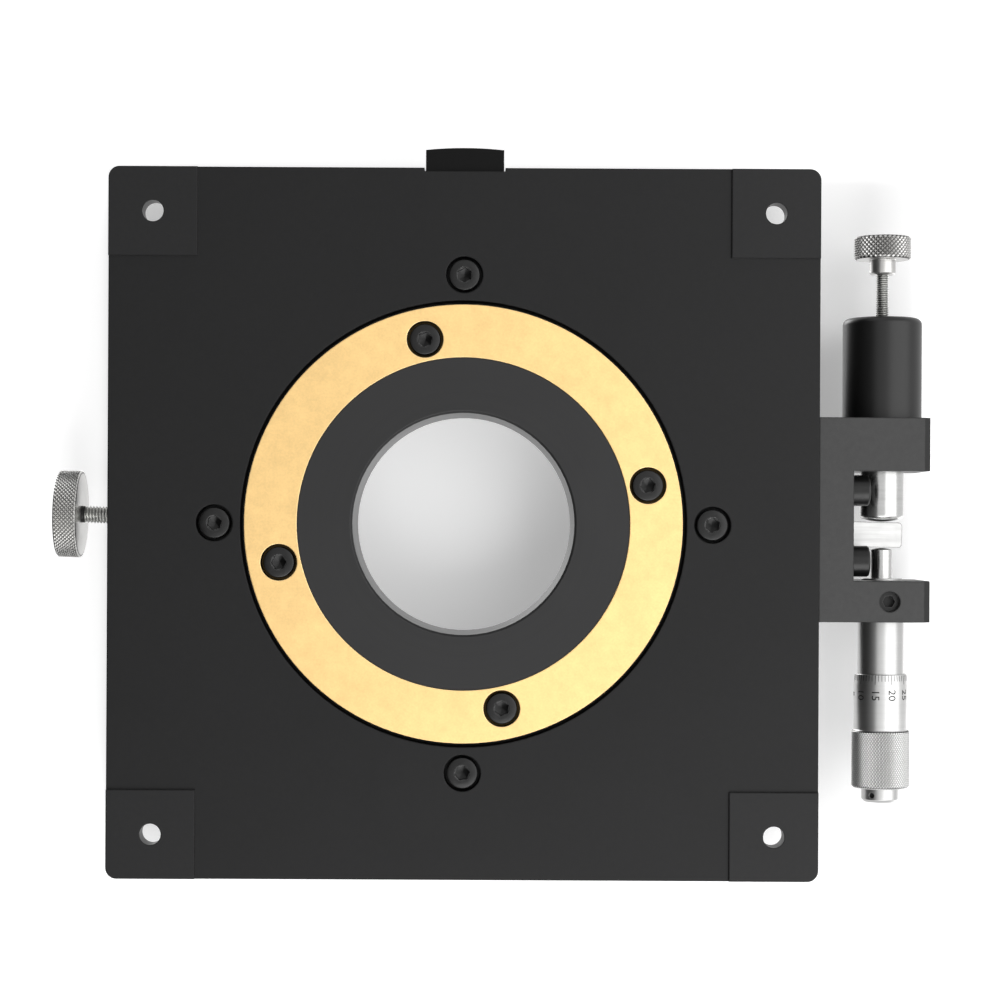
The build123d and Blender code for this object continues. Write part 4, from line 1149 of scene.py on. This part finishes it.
@dataclass
class TableScale:
    """Degree scale on the table's bevelled rim, with its vernier."""

    rim: float = 80.0
    rim_height: float = 26.8
    bevel_width: float = 5.0
    bevel_height: float = 1.2
    lift: float = 0.008
    margin: float = 0.12
    rings: tuple[tuple[str, float, float, int], ...] = (
        ("degree_ticks", 1.2, 0.16, 360),
        ("fifth_ticks", 1.75, 0.18, 72),
        ("tenth_ticks", 2.2, 0.2, 36),
    )
    numbered: int = 10
    number_height: float = 1.55
    number_width: float = 0.85
    number_inwards: float = 3.35
    vernier_radius: float = 80.4
    vernier_divisions: int = 12
    vernier_span: float = 11.0
    vernier_tick: tuple[float, float] = (1.3, 0.16)
    vernier_major: tuple[float, float] = (1.9, 0.16)
    vernier_margin: float = 0.08
    vernier_number_height: float = 1.1
    vernier_number_out: float = 2.85

    def build(self, shop: Finisher) -> list[Piece]:
        """Model and dress the scale and the vernier."""
        scale, vernier = self._degrees(), self._vernier()
        shop.deliver(scale, Matrix.Identity(4), WHITE_FILL, "rotor")
        shop.deliver(vernier, Matrix.Identity(4), WHITE_FILL, "base")
        return [scale, vernier]

    def _on_bevel(self, piece: Piece, turn: float, inwards: float) -> Piece:
        """Carry a mark, X pointing inwards, to its turn on the bevel."""
        slope = atan2(self.bevel_height, self.bevel_width)
        height = self.rim_height + inwards * sin(slope) + self.lift
        foot = Matrix.Translation((-self.rim + inwards * cos(slope), 0, height))
        return Bench.carry(piece, about_z(turn) @ foot @ Matrix.Rotation(-slope, 4, "Y"))

    def _ring(self, name: str, length: float, width: float, count: int) -> Piece:
        """Repeat one tick round the rim."""
        tick = self._on_bevel(Script.tick(length, width, name), 90.0, self.margin)
        bpy.ops.object.empty_add(location=(0, 0, 0))
        step = bpy.context.object
        step.rotation_euler = (0, 0, tau / count)
        bpy.context.view_layer.update()
        modifier = tick.modifiers.new("round", "ARRAY")
        modifier.use_relative_offset = False
        modifier.use_object_offset = True
        modifier.offset_object = step
        modifier.count = count
        Bench.hold(tick)
        bpy.ops.object.modifier_apply(modifier=modifier.name)
        bpy.data.objects.remove(step, do_unlink=True)
        return tick

    def _degrees(self) -> Piece:
        """All ticks, and a number at every tenth degree."""
        marks = [self._ring(*ring) for ring in self.rings]
        for degree in range(0, 360, self.numbered):
            number = Script.number(degree, self.number_height, self.number_width)
            Bench.carry(number, about_z(-90.0))
            marks.append(self._on_bevel(number, 90.0 + degree, self.number_inwards))
        return Bench.joined("table_scale", marks)

    def _vernier(self) -> Piece:
        """Twelve vernier divisions on the block beside the rim, eleven degrees long."""
        marks = []
        half = self.vernier_divisions // 2
        foot = (self.vernier_radius + self.vernier_margin, 0, self.rim_height + self.lift)
        centre = (0, -self.vernier_radius - self.vernier_number_out, self.rim_height)
        for step in range(self.vernier_divisions + 1):
            turn = about_z((step - half) * self.vernier_span / self.vernier_divisions)
            major = step % half == 0
            tick = Script.tick(*(self.vernier_major if major else self.vernier_tick))
            marks.append(Bench.carry(tick, turn @ about_z(-90.0) @ Matrix.Translation(foot)))
            if major:
                number = Script.number(5 * step, self.vernier_number_height, self.number_width)
                marks.append(Bench.carry(number, turn @ Matrix.Translation(centre)))
        return Bench.joined("vernier_scale", marks)


@dataclass(frozen=True)
class Lamp:
    """One soft square lamp that faces the stage."""

    name: str
    place: Point
    size: float
    power: float
    target: Point = (0.02, 0.0, 0.013)

    def hang(self) -> None:
        """Hang the lamp."""
        data = bpy.data.lights.new(self.name, "AREA")
        data.shape = "SQUARE"
        data.size = self.size
        data.energy = self.power
        lamp = bpy.data.objects.new(self.name, data)
        bpy.context.scene.collection.objects.link(lamp)
        aim = Vector(self.target) - Vector(self.place)
        turn = aim.to_track_quat("-Z", "Y").to_matrix().to_4x4()
        lamp.matrix_world = Matrix.Translation(self.place) @ turn


@dataclass
class Studio:
    """White surface under the face-down table, a floor for views from above, lamps and camera."""

    distance: float = 0.530
    focal_pixels: float = 2362.0
    frame_pixels: float = 1001.0
    sensor_width: float = 36.0
    clip: tuple[float, float] = (0.01, 20.0)
    stage_centre: tuple[float, float] = (463.3, 524.0)
    camera_offset: tuple[float, float] = (0.0029, 0.0007)
    roll: float = -0.28
    surface_height: float = 0.0281
    floor_height: float = -0.0002
    floor_size: float = 6.0
    paper: float = 0.8
    paper_roughness: float = 0.9
    ambient: float = 0.42
    # painted shade: the white surface glows less inside this box round the stage
    shade_centre: tuple[float, float] = (0.012, 0.0)
    shade_reach: tuple[float, float] = (0.0925, 0.08)
    shade_blend: float = 0.006
    glow_near: float = 0.3
    glow_far: float = 0.67
    card_place: Point = (-0.38, 0.0, -0.32)
    card_tone: float = 0.03
    lamps: tuple[Lamp, ...] = (
        Lamp("key_under", (0.6, -0.05, -0.55), 0.9, 3.8),
        Lamp("sheen_under", (0.12, 0.5, -0.5), 0.5, 2.8),
        Lamp("key_over", (-0.5, -0.45, 0.75), 0.5, 3.6),
        Lamp("fill_over", (0.6, 0.4, 0.7), 0.7, 1.8),
    )

    def build(self) -> None:
        """Set up everything round the object."""
        bpy.context.scene.view_settings.view_transform = "Standard"
        self._world()
        for lamp in self.lamps:
            lamp.hang()
        self._surface("white_surface", self.surface_height, pi, self.glow_near)
        self._surface("floor", self.floor_height, 0.0, self.glow_far)
        self._card()
        self._camera()

    @staticmethod
    def _sheet(name: str, hidden_from: tuple[str, ...], **settings: object) -> Tree:
        """Stage a plane with a new material.

        Args:
            name: name of the plane and its material.
            hidden_from: kinds of rays that pass it by.
            settings: the plane's size, location and rotation.

        Returns:
            The material's tree.
        """
        plane = Bench.add(name, bpy.ops.mesh.primitive_plane_add, **settings)
        material = bpy.data.materials.new(name)
        material.use_nodes = True
        plane.data.materials.append(material)
        for rays in hidden_from:
            setattr(plane, "visible_" + rays, False)
        return Tree(material.node_tree)

    def _world(self) -> None:
        """Even light for the object, and plain white for what it mirrors and the camera sees."""
        world = bpy.data.worlds.new("studio")
        bpy.context.scene.world = world
        world.use_nodes = True
        tree = Tree(world.node_tree)
        light = world.node_tree.nodes["Background"].inputs
        path = tree.add("LightPath").outputs
        seen = path["Is Camera Ray"]
        for label in ("Is Glossy Ray", "Is Transmission Ray"):
            seen = tree.maths("MAXIMUM", seen, path[label])
        tree.feed(light["Color"], (1, 1, 1, 1))
        tree.feed(light["Strength"], tree.mapped(seen, (self.ambient, 1.0)))

    def _surface(self, name: str, height: float, turn: float, glow_near: float) -> None:
        """Lay a white plane that only shows from its own side and keeps shadows.

        Args:
            name: the plane's name.
            height: its height in metres.
            turn: pi where it faces down.
            glow_near: brightness that it has by itself near the stage; below glow_far it paints
                shade there.
        """
        tree = self._sheet(
            name, ("shadow", "diffuse", "glossy", "transmission"),
            size=self.floor_size, location=(0, 0, height), rotation=(turn, 0, 0),
        )
        nodes = tree.tree.nodes
        paper = nodes["Principled BSDF"]
        camera_ray = tree.add("LightPath").outputs["Is Camera Ray"]
        wanted = {
            "Base Color": (*grey(self.paper), 1), "Roughness": self.paper_roughness,
            "Specular IOR Level": 0.0, "Emission Color": (1, 1, 1, 1),
            "Emission Strength": tree.maths("MULTIPLY", camera_ray, self._glow(tree, glow_near)),
        }
        for label, value in wanted.items():
            tree.feed(paper.inputs[label], value)
        shaders = {
            "Fac": tree.add("NewGeometry").outputs["Backfacing"],
            1: paper.outputs["BSDF"],
            2: tree.add("BsdfTransparent").outputs["BSDF"],
        }
        either = tree.add("MixShader", shaders).outputs["Shader"]
        tree.feed(nodes["Material Output"].inputs["Surface"], either)

    def _glow(self, tree: Tree, glow_near: float) -> Socket:
        """Brightness of the white surface: even outside, lower under and beside the stage as
        painted shade.
        """
        plain = tree.add("TexCoord").outputs["Object"]
        shift = tree.vectors("SUBTRACT", plain, (*self.shade_centre, 0))
        away = tree.axes(tree.vectors("ABSOLUTE", shift))
        glows, ramps = (glow_near, self.glow_far), []
        for axis, reach in zip("XY", self.shade_reach):
            blend = (reach, reach + self.shade_blend)
            ramps.append(tree.mapped(away[axis], glows, blend, interpolation_type="SMOOTHSTEP"))
        return tree.maths("MAXIMUM", *ramps)

    def _card(self) -> None:
        """Stand a dark card on the left, which only the shiny pieces mirror."""
        tree = self._sheet(
            "dark_card", ("camera", "shadow", "diffuse"),
            size=1.0, location=self.card_place, rotation=(0, pi / 2, 0),
        )
        colour = tree.tree.nodes["Principled BSDF"].inputs["Base Color"]
        tree.feed(colour, (*grey(self.card_tone), 1))

    def _camera(self) -> None:
        """Stand the camera under the base, as the photograph's stood over its back."""
        data = bpy.data.cameras.new("photo_camera")
        data.sensor_width = self.sensor_width
        data.lens = data.sensor_width * self.focal_pixels / self.frame_pixels
        scale = self.focal_pixels / self.distance
        middle = self.frame_pixels / 2
        shift_x, shift_y = (
            middle - (centre + offset * scale)
            for centre, offset in zip(self.stage_centre, self.camera_offset)
        )
        data.shift_x = shift_x / self.frame_pixels
        data.shift_y = -shift_y / self.frame_pixels
        data.clip_start, data.clip_end = self.clip
        camera = bpy.data.objects.new("photo_camera", data)
        bpy.context.scene.collection.objects.link(camera)
        stand = Matrix.Translation((*self.camera_offset, -self.distance))
        camera.matrix_world = stand @ about_z(self.roll) @ Matrix.Rotation(pi, 4, "X")
        bpy.context.scene.camera = camera


NODE_FINISHES: dict[str, Finish] = {
    "base_plate": BASE_BLACK,
    "bearing_ring": DARK_STEEL,
    "housing_ring": BASE_BLACK,
    "housing_screws": SCREW_BLACK,
    "thrust_washer": BRONZE,
    "rotary_table": HUB_BLACK,
    "retaining_ring": BRASS,
    "clamp_ring": BASE_BLACK,
    "drive_arm": BRIGHT_BAR,
    "arm_screws": SCREW_BLACK,
    "drive_bracket": BRACKET_BLACK,
    "spring_housing": CAN_BLACK,
    "spring_plunger": GROUND_STEEL,
    "spring_seat": SPRING_STEEL,
    "micrometer_sleeve": SATIN_CHROME,
    "sleeve_set_screw": SCREW_BLACK,
    "spindle": GROUND_STEEL,
    "thimble_cap": SATIN_CHROME,
    "clamp_pad": BRASS,
    "vernier_block": LUG_BLACK,
}


def on_circle(radius: float, turns: list[float], height: float) -> list[Point]:
    """Points in millimetres at these turns of a circle about the stage's axis."""
    return [(radius * cos(radians(t)), radius * sin(radians(t)), height) for t in turns]


def screws() -> list[CapScrews]:
    """Every visible group of cap screws."""
    return [
        CapScrews(
            "bearing_screws", "base", on_circle(56.0, [0, 90, 180, 270], 4.75), (0, 0, 1),
            [8, 21, 14, 2], length=4.9, finish=SCREW_BLACK_SHADED_SOCKETS,
        ),
        CapScrews(
            "ring_screws", "rotor", on_circle(42.4, [-12, 78, 168, 258], 5.15), (0, 0, 1),
            [17, 5, 26, 11], finish=SCREW_BLACK_SHADED_SOCKETS,
        ),
        CapScrews(
            "bracket_screws", "base", [(87.8, -8, 5.2), (87.8, 8, 5.2)], (-1, 0, 0),
            [10, 24], length=18.0,
        ),
        CapScrews(
            "vernier_screws", "base", [(-5, -81.45, 5.5), (5, -81.45, 5.5)], (0, 1, 0),
            [4, 19], shank_radius=1.5, head_radius=2.75, head_height=3.0, length=8.0,
            hexagon=2.5, socket_depth=1.6,
        ),
    ]


def main() -> None:
    """Build, dress and light the rotation stage."""
    logging.basicConfig(level=logging.INFO, format="%(name)s: %(message)s")
    shop = Finisher()
    for node, finish in NODE_FINISHES.items():
        shop.apply(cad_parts[node], finish)
    LOG.info("dressed %d nodes", len(NODE_FINISHES))
    scales = (Micrometer(), TableScale())
    for assembly in (*screws(), LOCK_KNOB, PRELOAD_KNOB, ReturnSpring(), *scales):
        for piece in assembly.build(shop):
            LOG.info("built %s", piece.name)
    Studio().build()


if __name__ == "__main__":
    main()
